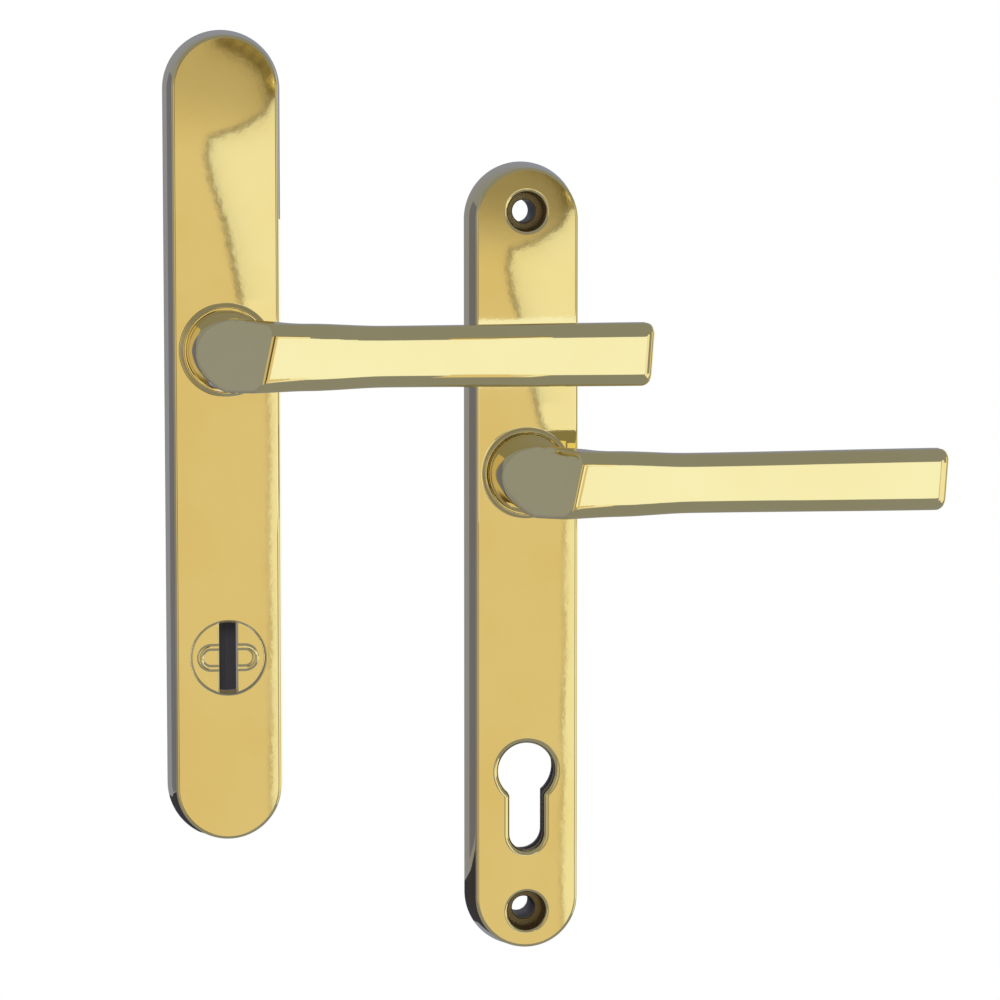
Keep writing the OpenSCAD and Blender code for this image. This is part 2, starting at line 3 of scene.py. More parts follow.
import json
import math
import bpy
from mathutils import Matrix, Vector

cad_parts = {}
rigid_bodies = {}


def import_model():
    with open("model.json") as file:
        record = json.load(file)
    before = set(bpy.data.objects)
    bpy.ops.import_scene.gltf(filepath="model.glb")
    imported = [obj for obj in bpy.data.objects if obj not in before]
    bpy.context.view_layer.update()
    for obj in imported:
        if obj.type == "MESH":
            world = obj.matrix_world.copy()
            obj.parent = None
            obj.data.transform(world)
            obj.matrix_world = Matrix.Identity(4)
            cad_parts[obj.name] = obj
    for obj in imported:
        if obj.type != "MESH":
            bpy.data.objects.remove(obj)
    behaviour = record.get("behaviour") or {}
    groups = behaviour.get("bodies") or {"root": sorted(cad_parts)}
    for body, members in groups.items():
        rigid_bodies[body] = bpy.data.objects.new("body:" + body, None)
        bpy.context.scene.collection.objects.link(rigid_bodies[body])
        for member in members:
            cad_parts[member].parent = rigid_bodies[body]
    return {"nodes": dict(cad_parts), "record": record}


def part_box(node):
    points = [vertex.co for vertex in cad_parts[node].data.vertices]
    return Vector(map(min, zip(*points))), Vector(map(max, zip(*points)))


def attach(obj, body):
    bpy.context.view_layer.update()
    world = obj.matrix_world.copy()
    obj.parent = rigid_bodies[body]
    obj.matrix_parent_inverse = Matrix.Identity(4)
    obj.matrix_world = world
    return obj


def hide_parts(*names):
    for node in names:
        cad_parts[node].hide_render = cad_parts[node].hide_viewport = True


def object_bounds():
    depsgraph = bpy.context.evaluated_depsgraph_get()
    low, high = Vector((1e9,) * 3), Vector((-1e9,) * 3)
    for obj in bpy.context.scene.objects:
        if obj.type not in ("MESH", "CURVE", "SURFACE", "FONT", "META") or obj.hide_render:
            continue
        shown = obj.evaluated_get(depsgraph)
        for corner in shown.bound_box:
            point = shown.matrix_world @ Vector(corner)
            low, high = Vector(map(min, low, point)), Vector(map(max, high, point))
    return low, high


bl_info = {
    "name": "Security Door Handles",
    "version": (1, 0, 0),
    "blender": (4, 5, 0),
    "location": "View3D > Sidebar > Door Handles",
    "description": "Builds the finished pieces, materials and studio of a pair of long-plate lever handles",
    "category": "Add Mesh",
}

from functools import cache

import bmesh
import bpy
import numpy as np
from bpy.props import FloatProperty, FloatVectorProperty, IntProperty, PointerProperty
from mathutils import Vector
from mathutils.geometry import delaunay_2d_cdt

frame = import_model()
CAD_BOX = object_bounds()

MM = 0.001
CAST_SHARP = math.radians(32)
SWEPT_SHARP = math.radians(35)
HALVES = ("outside", "inside")
MOUNTS = {mount["name"]: mount for mount in frame["record"]["mounts"]}
SPINDLES = {half: Vector(MOUNTS[f"{half}_spindle_socket"]["pos_m"]) for half in HALVES}
LEVER_BODIES = {half: f"{half}_lever_set" for half in HALVES}
PLATES_BODY = "plates"
GUARD_BODY = "guard_disc"


# ---------------------------------------------------------------------------------------------
# Places and sizes taken from the frame. A half's own frame is x along the lever, y up the
# backplate and z out from the door, with its origin on the spindle's axis at the door.


def own_box(node, half):
    """Lowest and highest corner of a CAD node in a half's own frame."""
    low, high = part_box(node)
    origin = SPINDLES[half]
    return (
        Vector((low.x - origin.x, low.z - origin.z, origin.y - high.y)),
        Vector((high.x - origin.x, high.z - origin.z, origin.y - low.y)),
    )


def own_point(position, half):
    """A point of the row frame in a half's own frame."""
    origin = SPINDLES[half]
    return Vector((position[0] - origin.x, position[2] - origin.z, origin.y - position[1]))


def to_row(points, half):
    """Points of a half's own frame in the row frame, as an array."""
    p = np.asarray(points, float).reshape(-1, 3)
    o = SPINDLES[half]
    return np.column_stack([p[:, 0] + o.x, o.y - p[:, 2], p[:, 1] + o.z])


COVER_LOW, COVER_HIGH = own_box("outside_cover", "outside")
LEVER_LOW, LEVER_HIGH = own_box("outside_lever", "outside")
BASE_LOW, BASE_HIGH = own_box("outside_base", "outside")
GASKET_LOW, GASKET_HIGH = own_box("outside_gasket", "outside")
ROTOR_LOW, ROTOR_HIGH = own_box("guard_rotor", "outside")
SPRING_LOW, SPRING_HIGH = own_box("outside_return_spring", "outside")
SCREWS_LOW, SCREWS_HIGH = own_box("outside_base_screws", "outside")
CYLINDER_Y = own_point(MOUNTS["outside_cylinder_seat"]["pos_m"], "outside").y
EURO_RADIUS = MOUNTS["inside_cylinder_cutout"]["dims"]["r_mm"] * MM
FIXINGS = MOUNTS["inside_fixings"]
FIXING_HOLE = FIXINGS["dims"]["hole_r_mm"] * MM
FIXING_MIDDLE = own_point(FIXINGS["pos_m"], "inside").y
FIXING_YS = [FIXING_MIDDLE + side * FIXINGS["dims"]["spacing_y_mm"] * MM / 2 for side in (1, -1)]


def length(name, about, millimetres):
    """A size property that is stored in metres."""
    return FloatProperty(
        name=name, description=about, default=millimetres * MM, min=0.0, precision=5, unit="LENGTH"
    )


def colour(name, about, values):
    """A linear colour property."""
    return FloatVectorProperty(
        name=name, description=about, default=values, size=3, min=0.0, max=1.0, subtype="COLOR"
    )


class PlateSizes(bpy.types.PropertyGroup):
    """Sizes of the two covers."""

    depth: length("Depth", "From the door to the plate's front face", 13.0)
    draft: length("Draft", "How far the sides lean in from the back to the front", 1.7)
    front_round: length("Front Rounding", "Radius along the front edge", 0.9)
    back_round: length("Back Rounding", "Radius along the back edge", 0.3)
    front_wall: length("Front Wall", "Thickness of the front wall", 3.0)
    side_wall: length("Side Wall", "Thickness of the side wall at the door", 2.9)
    collar_radius: length("Collar", "Radius of the raised collar around the neck", 13.5)
    collar_bore: length("Collar Bore", "Radius inside the collar", 12.5)
    bush_radius: length("Bush", "Radius of the hole that holds the bush", 10.04)
    guard_radius: length("Guard Hole", "Radius of the hole for the guard's disc", 11.15)
    euro_lobe: length("Cylinder Lobe", "Half width of the cut-out's lower part", 5.15)
    euro_height: length("Cylinder Height", "Height of a euro cylinder", 33.3)
    euro_roll: length("Cut-out Roll", "Radius of the cut-out's rolled edge", 1.7)
    counterbore: length("Counterbore", "Radius of the screw head's counterbore", 5.9)
    cup_wall: length("Cup Wall", "Wall around the counterbore", 1.5)
    cup_floor: length("Cup Floor", "Thickness of the counterbore's floor", 1.5)


class LeverSizes(bpy.types.PropertyGroup):
    """Sizes of the levers."""

    grip_height: length("Grip Height", "Height of the grip at its waist", 17.6)
    grip_flare: length("Grip Flare", "How much taller the grip is at its tip", 0.8)
    grip_swell: length("Grip Swell", "How much taller the grip is where it leaves the bend", 1.6)
    grip_thickness: length("Grip Thickness", "Thickness of the grip", 11.0)
    grip_round: length("Grip Rounding", "Rounding along the grip's edges", 3.7)
    neck_radius: length("Neck", "Radius of the neck at the plate", 12.2)
    neck_top_radius: length("Neck Top", "Radius of the neck where it starts to bend", 10.6)
    neck_start: length("Neck Start", "Height of the neck's foot above the door", 14.1)
    bend_radius: length("Bend", "Radius of the neck's inside bend", 9.0)
    bend_square: FloatProperty(
        name="Bend Squareness", description="How squarely the outside of the bend turns", default=10.0
    )
    bend_soften: FloatProperty(
        name="Bend Softening",
        description="Share of the bend over which its section loses its roundness",
        default=0.6,
        subtype="FACTOR",
    )
    waist: length("Waist", "Along the lever to the grip's narrowest place", 42.0)
    facet_start: length("Facet Start", "Where the facet starts, out from the plate's face", 17.0)
    facet_angle: FloatProperty(
        name="Facet Angle",
        description="Angle of the facet from the plate's face",
        default=math.radians(56),
        subtype="ANGLE",
    )
    facet_lean: FloatProperty(
        name="Facet Lean",
        description="Sideways lean of the facet's edge on the grip",
        default=math.radians(12),
        subtype="ANGLE",
    )
    facet_sharpness: FloatProperty(
        name="Facet Sharpness", description="How sharply the facet's edges turn", default=22.0
    )
    tip_round: length("Tip Rounding", "Rounding of the grip's end", 2.8)
    tip_slant: FloatProperty(
        name="Tip Slant", description="Lean of the end face per unit of height", default=0.07
    )
    bow: length("Bow", "How far the tip curves back towards the door", 1.5)
    shank_radius: length("Shank", "Radius of the shank", 8.0)
    shank_flats: length("Flats", "Across the shank's two flats", 13.0)
    spindle: length("Spindle Socket", "Side of the square socket", 8.1)
    socket_depth: length("Socket Depth", "Depth of the square socket", 23.0)
    around: IntProperty(name="Corner Steps", description="Points over each rounded corner", default=34)
    along_bend: IntProperty(name="Bend Steps", description="Stations around the bend", default=190)


class GuardSizes(bpy.types.PropertyGroup):
    """Sizes of the cylinder guard's disc."""

    radius: length("Disc", "Radius of the visible disc", 11.0)
    face: length("Face", "Height of the disc's face above the door", 12.2)
    edge_round: length("Edge Rounding", "Rounding of the disc's edges", 0.25)
    slot_width: length("Key Slot", "Width of the key slot", 5.4)
    flange_thickness: length("Flange", "Thickness of the hidden flange", 1.6)
    bead_reach: length("Bead Reach", "Half the length of the raised bead", 9.3)
    bead_height: length("Bead Height", "Half the height of the raised bead", 4.2)
    bead_width: length("Bead Width", "Width of the bead itself", 2.1)
    bead_rise: length("Bead Rise", "How far the bead stands up", 0.45)


class FinishColours(bpy.types.PropertyGroup):
    """Colours of the finishes, in linear values."""

    brass: colour("Brass", "Polished brass", (0.92, 0.78, 0.375))
    brass_warm: colour("Warm Brass", "Brass where its lacquer has yellowed", (0.90, 0.74, 0.32))
    brass_cast: colour("Cast Brass", "Brass as it left the mould", (0.30, 0.22, 0.10))
    nylon_dark: colour("Dark Nylon", "Glass-filled nylon of the bases", (0.055, 0.05, 0.056))
    nylon_white: colour("White Nylon", "Nylon of the bushes", (0.78, 0.76, 0.69))
    zinc: colour("Zinc", "Bright zinc plating", (0.56, 0.57, 0.58))
    zinc_warm: colour("Passivated Zinc", "Yellow tinge of the passivation", (0.60, 0.57, 0.44))
    steel: colour("Steel", "Hardened and spring steel", (0.22, 0.22, 0.225))
    rubber: colour("Rubber", "Seal rubber", (0.042, 0.039, 0.044))
    foam: colour("Foam", "Closed cell foam", (0.02, 0.02, 0.021))


class StudioSizes(bpy.types.PropertyGroup):
    """The camera and the lights."""

    lens: FloatProperty(name="Lens", description="Focal length in millimetres", default=143.7)
    distance: FloatProperty(
        name="Distance", description="From the camera to the plates", default=1.2, unit="LENGTH"
    )
    yaw: FloatProperty(
        name="Yaw",
        description="How far left of square the camera stands",
        default=math.radians(9.13),
        subtype="ANGLE",
    )
    pitch: FloatProperty(
        name="Pitch",
        description="How far above level the camera stands",
        default=math.radians(5.47),
        subtype="ANGLE",
    )
    target: FloatVectorProperty(
        name="Target", description="Where the camera looks", default=(0.0821, -0.013, -0.0459), size=3
    )
    room: colour("Room", "The room's ceiling, floor and far walls in reflections", (0.27, 0.29, 0.36))
    # The next two colours tint the soft boxes and the painted reflections of the front card; the third
    # colours the grips' painted highlights.
    warm_room: colour("Warm Room", "The part of the room in front of the handles", (0.77, 0.67, 0.46))
    window: colour("Window", "The window's light", (0.96, 0.96, 0.86))
    grip_highlight: FloatVectorProperty(
        name="Bright Window", description="The brightest part of the window", default=(1.02, 1.10, 1.20),
        size=3,
    )


GROUPS = {
    "handle_plate": PlateSizes,
    "handle_lever": LeverSizes,
    "handle_guard": GuardSizes,
    "handle_colours": FinishColours,
    "handle_studio": StudioSizes,
}


def sizes(group):
    """The scene's property group of that name."""
    return getattr(bpy.context.scene, f"handle_{group}")


# ---------------------------------------------------------------------------------------------
# Outlines. Each is a closed ring of points in a half's own frame, at one height z.


def circle_ring(radius, z, y=0.0, steps=96):
    """Circle around a point of the plate's middle line."""
    a = np.linspace(0, 2 * math.pi, steps, endpoint=False)
    return np.column_stack([radius * np.cos(a), y + radius * np.sin(a), np.full(steps, z)])


def stadium_ring(radius, z, low, high, arc_steps=56, straight_steps=26):
    """Long round-ended outline, whose end arcs are centred at the heights low and high."""
    turn = np.linspace(0, math.pi, arc_steps)
    climb = np.linspace(0, 1, straight_steps + 2)[1:-1]
    top = np.column_stack([radius * np.cos(turn), high + radius * np.sin(turn)])
    bottom = np.column_stack([-radius * np.cos(turn), low - radius * np.sin(turn)])
    left = np.column_stack([np.full(straight_steps, -radius), high + (low - high) * climb])
    right = np.column_stack([np.full(straight_steps, radius), low + (high - low) * climb])
    flat = np.vstack([top, left, bottom, right])
    return np.column_stack([flat, np.full(len(flat), z)])


def euro_ring(grow, z, radius, lobe, height, soften):
    """Outline of a euro cylinder, grown by grow, with softened corners where its two parts meet."""
    lobe_y = radius - height + lobe
    corner = np.array([lobe + soften, -math.sqrt((radius + soften) ** 2 - (lobe + soften) ** 2)])
    start = math.atan2(corner[1], corner[0])
    round_part = np.linspace(math.pi / 2, start, 40)
    arc = (radius + grow) * np.column_stack([np.cos(round_part), np.sin(round_part)])
    turn = np.linspace(start + math.pi, math.pi, 9)
    small = soften - grow
    fillet = corner + small * np.column_stack([np.cos(turn), np.sin(turn)])
    drop = np.linspace(0, 1, 8)[1:-1, None]
    low_corner = np.array([lobe + grow, lobe_y])
    straight = fillet[-1] + (low_corner - fillet[-1]) * drop
    turn = np.linspace(0, -math.pi / 2, 18)
    foot = np.array([0, lobe_y]) + (lobe + grow) * np.column_stack([np.cos(turn), np.sin(turn)])
    right = np.vstack([arc, fillet[1:], straight, foot])
    left = right[1:-1][::-1] * [-1, 1]
    flat = np.vstack([right, left]) + [0, CYLINDER_Y]
    return np.column_stack([flat, np.full(len(flat), z)])


def flatted_ring(radius, across, z, steps=96):
    """Circle with two flats, cut across its width."""
    ring = circle_ring(radius, z, steps=steps)
    ring[:, 0] = np.clip(ring[:, 0], -across / 2, across / 2)
    return ring


def square_ring(side, corner, z, steps=5):
    """Square with small round corners."""
    points = []
    for quarter in range(4):
        middle = (side / 2 - corner) * np.array(
            [math.cos(math.pi / 4 + quarter * math.pi / 2), math.sin(math.pi / 4 + quarter * math.pi / 2)]
        ) * math.sqrt(2)
        for a in np.linspace(0, math.pi / 2, steps):
            turn = a + quarter * math.pi / 2
            points.append([middle[0] + corner * math.cos(turn), middle[1] + corner * math.sin(turn), z])
    return np.array(points)


def segment_ring(radius, edge, side, z, steps=64):
    """Part of a disc beyond a straight cut, on one side of the key slot."""
    reach = math.acos(edge / radius)
    turn = np.linspace(-reach, reach, steps)
    arc = np.column_stack([side * radius * np.cos(turn), radius * np.sin(turn)])
    cut = np.linspace(arc[-1], arc[0], 14)[1:-1]
    flat = np.vstack([arc, cut]) + [0, CYLINDER_Y]
    return np.column_stack([flat, np.full(len(flat), z)])


def rounding(radius, steps, sweep=math.pi / 2):
    """Offsets (inwards, down) over a convex rounding, from the wall up to the flat."""
    a = np.linspace(0, sweep, steps)
    return np.column_stack([radius * (1 - np.cos(a)), radius * (1 - np.sin(a))])


# ---------------------------------------------------------------------------------------------
# Meshes


def inside_of(outline, x, z):
    """Whether each point lies inside an outline."""
    inside = np.zeros(x.shape, bool)
    for (x0, z0), (x1, z1) in zip(outline, outline[1:] + outline[:1]):
        if z0 != z1:
            inside ^= ((z0 > z) != (z1 > z)) & (x < (x1 - x0) * (z - z0) / (z1 - z0) + x0)
    return inside


def flat_faces(rings):
    """Triangles that fill the first ring around the others, as corners counted over all the rings."""
    spread = np.ptp(np.vstack(rings), axis=0)
    kept = [axis for axis in range(3) if axis != int(np.argmin(spread))]
    outlines = [ring[:, kept] / MM for ring in rings]
    flat = np.vstack(outlines)
    edges, first = [], 0
    for ring in rings:
        edges += [(first + i, first + (i + 1) % len(ring)) for i in range(len(ring))]
        first += len(ring)
    points, _, faces, origins, _, _ = delaunay_2d_cdt([Vector(p) for p in flat], edges, [], 0, 1e-6)
    if len(points) != len(flat):
        raise RuntimeError("the outlines of a flat face meet")
    order = np.array([[origins[i][0] for i in face] for face in faces])
    x, z = flat[order].mean(axis=1).T
    filled = inside_of(outlines[0].tolist(), x, z)
    for hole in outlines[1:]:
        filled &= ~inside_of(hole.tolist(), x, z)
    return order[filled]


def finish_mesh(bm, mesh, sharp):
    """Merges doubles, turns the faces outwards and shades smoothly between the sharp edges."""
    bmesh.ops.remove_doubles(bm, verts=bm.verts, dist=1e-7)
    bmesh.ops.recalc_face_normals(bm, faces=bm.faces)
    bm.to_mesh(mesh)
    bm.free()
    mesh.polygons.foreach_set("use_smooth", [True] * len(mesh.polygons))
    mesh.set_sharp_from_angle(angle=sharp)
    return mesh


def build_mesh(name, half, chains, flats):
    """Closed mesh from chains of rings, bridged in order, and flats filled between single rings."""
    bm = bmesh.new()
    known = {}

    def verts_of(ring):
        if id(ring) not in known:
            known[id(ring)] = [bm.verts.new(p) for p in to_row(ring, half)]
        return known[id(ring)]

    for chain in chains:
        for first, second in zip(chain, chain[1:]):
            a, b = verts_of(first), verts_of(second)
            for i in range(len(a)):
                j = (i + 1) % len(a)
                bm.faces.new((a[i], a[j], b[j], b[i]))
    for rings in flats:
        corners = [v for ring in rings for v in verts_of(ring)]
        for face in flat_faces(rings):
            bm.faces.new([corners[i] for i in face])
    return finish_mesh(bm, bpy.data.meshes.new(name), CAST_SHARP)


def add_piece(name, mesh, material, body, replaced=()):
    """Puts a finished mesh in the scene as a piece of the object."""
    obj = bpy.data.objects.new(name, mesh)
    bpy.context.scene.collection.objects.link(obj)
    mesh.materials.clear()
    mesh.materials.append(material)
    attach(obj, body)
    if replaced:
        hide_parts(*replaced)
    return obj


def own_centres(mesh, half):
    """Middle of each face in a half's own frame, as x, y and z."""
    centres = np.empty(len(mesh.polygons) * 3)
    mesh.polygons.foreach_get("center", centres)
    x, y, z = centres.reshape(-1, 3).T
    o = SPINDLES[half]
    return x - o.x, z - o.z, o.y - y


def mark_cast(mesh, faces):
    """Notes which faces were never buffed."""
    mesh.attributes.new("cast", "FLOAT", "FACE").data.foreach_set("value", np.asarray(faces, float))


def join_meshes(name, meshes):
    """One mesh that holds several closed shells."""
    bm = bmesh.new()
    for mesh in meshes:
        bm.from_mesh(mesh)
        bpy.data.meshes.remove(mesh)
    joined = bpy.data.meshes.new(name)
    bm.to_mesh(joined)
    bm.free()
    return joined


# ---------------------------------------------------------------------------------------------
# Node trees


class NodeMaker:
    """Short calls that add nodes to a tree and join them."""

    def __init__(self, tree):
        self.tree = tree

    def new(self, kind, **settings):
        node = self.tree.nodes.new(kind)
        for key, value in settings.items():
            setattr(node, key, value)
        return node

    def link(self, source, target):
        self.tree.links.new(source, target)

    def feed(self, socket, value):
        """Links another node's output to a socket, or sets the socket's own value."""
        if isinstance(value, bpy.types.NodeSocket):
            self.link(value, socket)
        else:
            socket.default_value = value

    def math(self, operation, *values):
        node = self.new("ShaderNodeMath", operation=operation)
        for socket, value in enumerate(values):
            self.feed(node.inputs[socket], value)
        return node.outputs[0]


# ---------------------------------------------------------------------------------------------
# Materials. Each is procedural, on Object coordinates.


class Finish(NodeMaker):
    """A material whose patterns lie on Object coordinates."""

    SOCKETS = {
        "colour": "Base Color",
        "metallic": "Metallic",
        "roughness": "Roughness",
        "normal": "Normal",
        "specular": "Specular IOR Level",
        "sheen": "Sheen Weight",
    }

    def __init__(self, name):
        self.material = bpy.data.materials.new(name)
        self.material.use_nodes = True
        super().__init__(self.material.node_tree)
        self.shader = self.tree.nodes["Principled BSDF"]
        self.place = self.new("ShaderNodeTexCoord").outputs["Object"]

    def stretched(self, scale):
        """Object coordinates, scaled by (x, y, z)."""
        node = self.new("ShaderNodeMapping")
        node.inputs["Scale"].default_value = scale
        self.link(self.place, node.inputs["Vector"])
        return node.outputs["Vector"]

    def noise(self, scale, detail=2.0, rough=0.5, vector=None):
        node = self.new("ShaderNodeTexNoise")
        node.inputs["Scale"].default_value = scale
        node.inputs["Detail"].default_value = detail
        node.inputs["Roughness"].default_value = rough
        self.link(vector or self.place, node.inputs["Vector"])
        return node.outputs["Fac"]

    def remap(self, value, low, high, to_low, to_high):
        node = self.new("ShaderNodeMapRange")
        for key, number in zip(("From Min", "From Max", "To Min", "To Max"), (low, high, to_low, to_high)):
            node.inputs[key].default_value = number
        self.link(value, node.inputs["Value"])
        return node.outputs["Result"]

    def mix(self, factor, first, second):
        node = self.new("ShaderNodeMix", data_type="RGBA")
        self.link(factor, node.inputs[0])
        self.feed(node.inputs[6], opaque(first))
        self.feed(node.inputs[7], opaque(second))
        return node.outputs[2]

    def bump(self, height, distance, strength=1.0, under=None):
        node = self.new("ShaderNodeBump")
        node.inputs["Strength"].default_value = strength
        node.inputs["Distance"].default_value = distance
        self.link(height, node.inputs["Height"])
        if under is not None:
            self.link(under, node.inputs["Normal"])
        return node.outputs["Normal"]

    def finish(self, **values):
        """Feeds the shader and returns the material."""
        for key, value in values.items():
            self.feed(self.shader.inputs[self.SOCKETS[key]], value)
        return self.material


def opaque(value):
    """A colour with full alpha, or a node's output as it is."""
    return value if isinstance(value, bpy.types.NodeSocket) else (*value, 1.0)


def polished_brass(name, wave, wave_scale, warm_share):
    """Buffed and lacquered brass: a slow waviness, a fine orange peel, smears and a yellowed lacquer."""
    c = sizes("colours")
    n = Finish(name)
    patches = n.remap(n.noise(26, 3, 0.6), 0.38, 0.66, 0.0, warm_share)
    tone = n.mix(patches, c.brass, c.brass_warm)
    smears = n.noise(60, 4, 0.65)
    haze = n.remap(n.noise(420, 3, 0.7), 0.62, 0.8, 0.0, 0.03)
    buffed = n.math("ADD", n.remap(smears, 0.35, 0.75, 0.012, 0.034), haze)
    cast = n.new("ShaderNodeAttribute", attribute_name="cast").outputs["Fac"]
    grit = n.noise(1500, 4, 0.65)
    tone = n.mix(n.math("MULTIPLY", cast, 0.9), tone, c.brass_cast)
    rough = n.math("ADD", buffed, n.math("MULTIPLY", cast, n.remap(grit, 0.3, 0.7, 0.34, 0.5)))
    waves = n.bump(n.noise(wave_scale, 1.5, 0.45), wave)
    peel = n.bump(n.noise(520, 2, 0.5), 0.0000012, 1.0, waves)
    sand = n.bump(n.math("MULTIPLY", grit, cast), 0.00012, 1.0, peel)
    return n.finish(colour=tone, metallic=1.0, roughness=rough, normal=sand)


def dark_nylon():
    """Moulded glass-filled nylon with a fine grain and a few flow marks."""
    c = sizes("colours")
    n = Finish("dark_nylon")
    flow = n.noise(70, 4, 0.6, n.stretched((1.0, 1.0, 0.25)))
    tone = n.mix(n.remap(flow, 0.35, 0.7, 0.0, 0.35), c.nylon_dark, (0.10, 0.095, 0.10))
    grain = n.noise(2600, 3, 0.6)
    return n.finish(
        colour=tone,
        roughness=n.remap(flow, 0.3, 0.7, 0.38, 0.56),
        specular=0.45,
        normal=n.bump(grain, 0.00003, 0.6),
    )


def white_nylon():
    """Self-lubricating nylon, slightly uneven."""
    c = sizes("colours")
    n = Finish("white_nylon")
    cloud = n.noise(160, 3)
    return n.finish(
        colour=n.mix(n.remap(cloud, 0.4, 0.7, 0.0, 0.4), c.nylon_white, (0.66, 0.62, 0.52)),
        roughness=n.remap(cloud, 0.3, 0.7, 0.34, 0.5),
        normal=n.bump(n.noise(1800, 2), 0.00002, 0.5),
    )


def zinc_plate():
    """Bright zinc plating with a yellowish passivation in patches."""
    c = sizes("colours")
    n = Finish("zinc_plate")
    patches = n.noise(180, 4, 0.6)
    turned = n.noise(2400, 2, 0.5, n.stretched((1.0, 0.08, 1.0)))
    return n.finish(
        colour=n.mix(n.remap(patches, 0.4, 0.65, 0.0, 1.0), c.zinc, c.zinc_warm),
        metallic=1.0,
        roughness=n.remap(patches, 0.3, 0.7, 0.22, 0.36),
        normal=n.bump(turned, 0.00001, 0.6),
    )


def ground_steel(name, lines_along):
    """Dark steel with the marks of grinding or drawing."""
    c = sizes("colours")
    n = Finish(name)
    lines = n.noise(2600, 3, 0.6, n.stretched(lines_along))
    heat = n.noise(90, 3)
    return n.finish(
        colour=n.mix(n.remap(heat, 0.4, 0.7, 0.0, 0.5), c.steel, (0.30, 0.27, 0.24)),
        metallic=1.0,
        roughness=n.remap(lines, 0.3, 0.7, 0.26, 0.42),
        normal=n.bump(lines, 0.000015, 0.7),
    )


def seal_rubber():
    """Matt black rubber with a light bloom."""
    c = sizes("colours")
    n = Finish("seal_rubber")
    bloom = n.noise(220, 4, 0.6)
    return n.finish(
        colour=n.mix(n.remap(bloom, 0.45, 0.75, 0.0, 0.5), c.rubber, (0.075, 0.07, 0.078)),
        roughness=n.remap(bloom, 0.3, 0.7, 0.55, 0.72),
        normal=n.bump(n.noise(1500, 3), 0.00003, 0.5),
        sheen=0.15,
    )


def closed_cell_foam():
    """Black foam with fine open cells on its cut face."""
    c = sizes("colours")
    n = Finish("closed_cell_foam")
    cells = n.new("ShaderNodeTexVoronoi")
    cells.inputs["Scale"].default_value = 2800
    n.link(n.place, cells.inputs["Vector"])
    return n.finish(
        colour=n.mix(n.remap(cells.outputs["Distance"], 0.1, 0.7, 0.0, 0.8), c.foam, (0.05, 0.05, 0.052)),
        roughness=0.9,
        normal=n.bump(cells.outputs["Distance"], 0.00012, 0.8),
    )


MATERIAL_MAKERS = {
    "polished_brass": lambda: polished_brass("plate_brass", 0.00005, 16.0, 1.0),
    "lever_brass": lambda: polished_brass("lever_brass", 0.00003, 40.0, 0.5),
    "dark_nylon": dark_nylon,
    "white_nylon": white_nylon,
    "zinc_steel": zinc_plate,
    "spring_steel": lambda: ground_steel("drawn_spring_steel", (1.0, 1.0, 1.0)),
    "hardened_steel": lambda: ground_steel("ground_hardened_steel", (1.0, 1.0, 0.05)),
    "seal_rubber": seal_rubber,
    "foam": closed_cell_foam,
}


@cache
def material_of(finish):
    """The material of a finish, made once. The record's slots are finishes too."""
    return MATERIAL_MAKERS[finish]()


# ---------------------------------------------------------------------------------------------
# Geometry Nodes


class ShapeTree(NodeMaker):
    """A geometry node tree with named inputs."""

    def __init__(self, name):
        super().__init__(bpy.data.node_groups.new(name, "GeometryNodeTree"))
        self.sockets = self.tree.interface
        self.sockets.new_socket("Geometry", in_out="INPUT", socket_type="NodeSocketGeometry")
        self.sockets.new_socket("Geometry", in_out="OUTPUT", socket_type="NodeSocketGeometry")
        self.inside = self.new("NodeGroupInput")
        self.outside = self.new("NodeGroupOutput")
        self.names = {}

    def input(self, name, kind, default=None):
        socket = self.sockets.new_socket(name, in_out="INPUT", socket_type=kind)
        if default is not None:
            socket.default_value = default
        self.names[name] = socket.identifier

    def value(self, name):
        return self.inside.outputs[name]

    def finish(self, geometry):
        """Ends the tree in Realize Instances and Set Material."""
        realize = self.new("GeometryNodeRealizeInstances")
        paint = self.new("GeometryNodeSetMaterial")
        self.link(geometry, realize.inputs["Geometry"])
        self.link(realize.outputs["Geometry"], paint.inputs["Geometry"])
        self.link(self.value("Material"), paint.inputs["Material"])
        self.link(paint.outputs["Geometry"], self.outside.inputs["Geometry"])


def run_tree(tree, name, source, values):
    """Runs a tree on a mesh or curve and returns the result as a plain mesh."""
    holder = bpy.data.objects.new(f"{name}_source", source)
    bpy.context.scene.collection.objects.link(holder)
    modifier = holder.modifiers.new("Nodes", "NODES")
    modifier.node_group = tree.tree
    for key, value in values.items():
        modifier[tree.names[key]] = value
    depsgraph = bpy.context.evaluated_depsgraph_get()
    mesh = bpy.data.meshes.new_from_object(holder.evaluated_get(depsgraph), depsgraph=depsgraph)
    bpy.data.objects.remove(holder)
    mesh.name = name
    bm = bmesh.new()
    bm.from_mesh(mesh)
    return finish_mesh(bm, mesh, SWEPT_SHARP)


def path_mesh(points, closed):
    """Edges through the points, for a tree that turns them into a curve."""
    mesh = bpy.data.meshes.new("path")
    last = len(points)
    edges = [(i, (i + 1) % last) for i in range(last if closed else last - 1)]
    mesh.from_pydata([tuple(p) for p in points], edges, [])
    return mesh


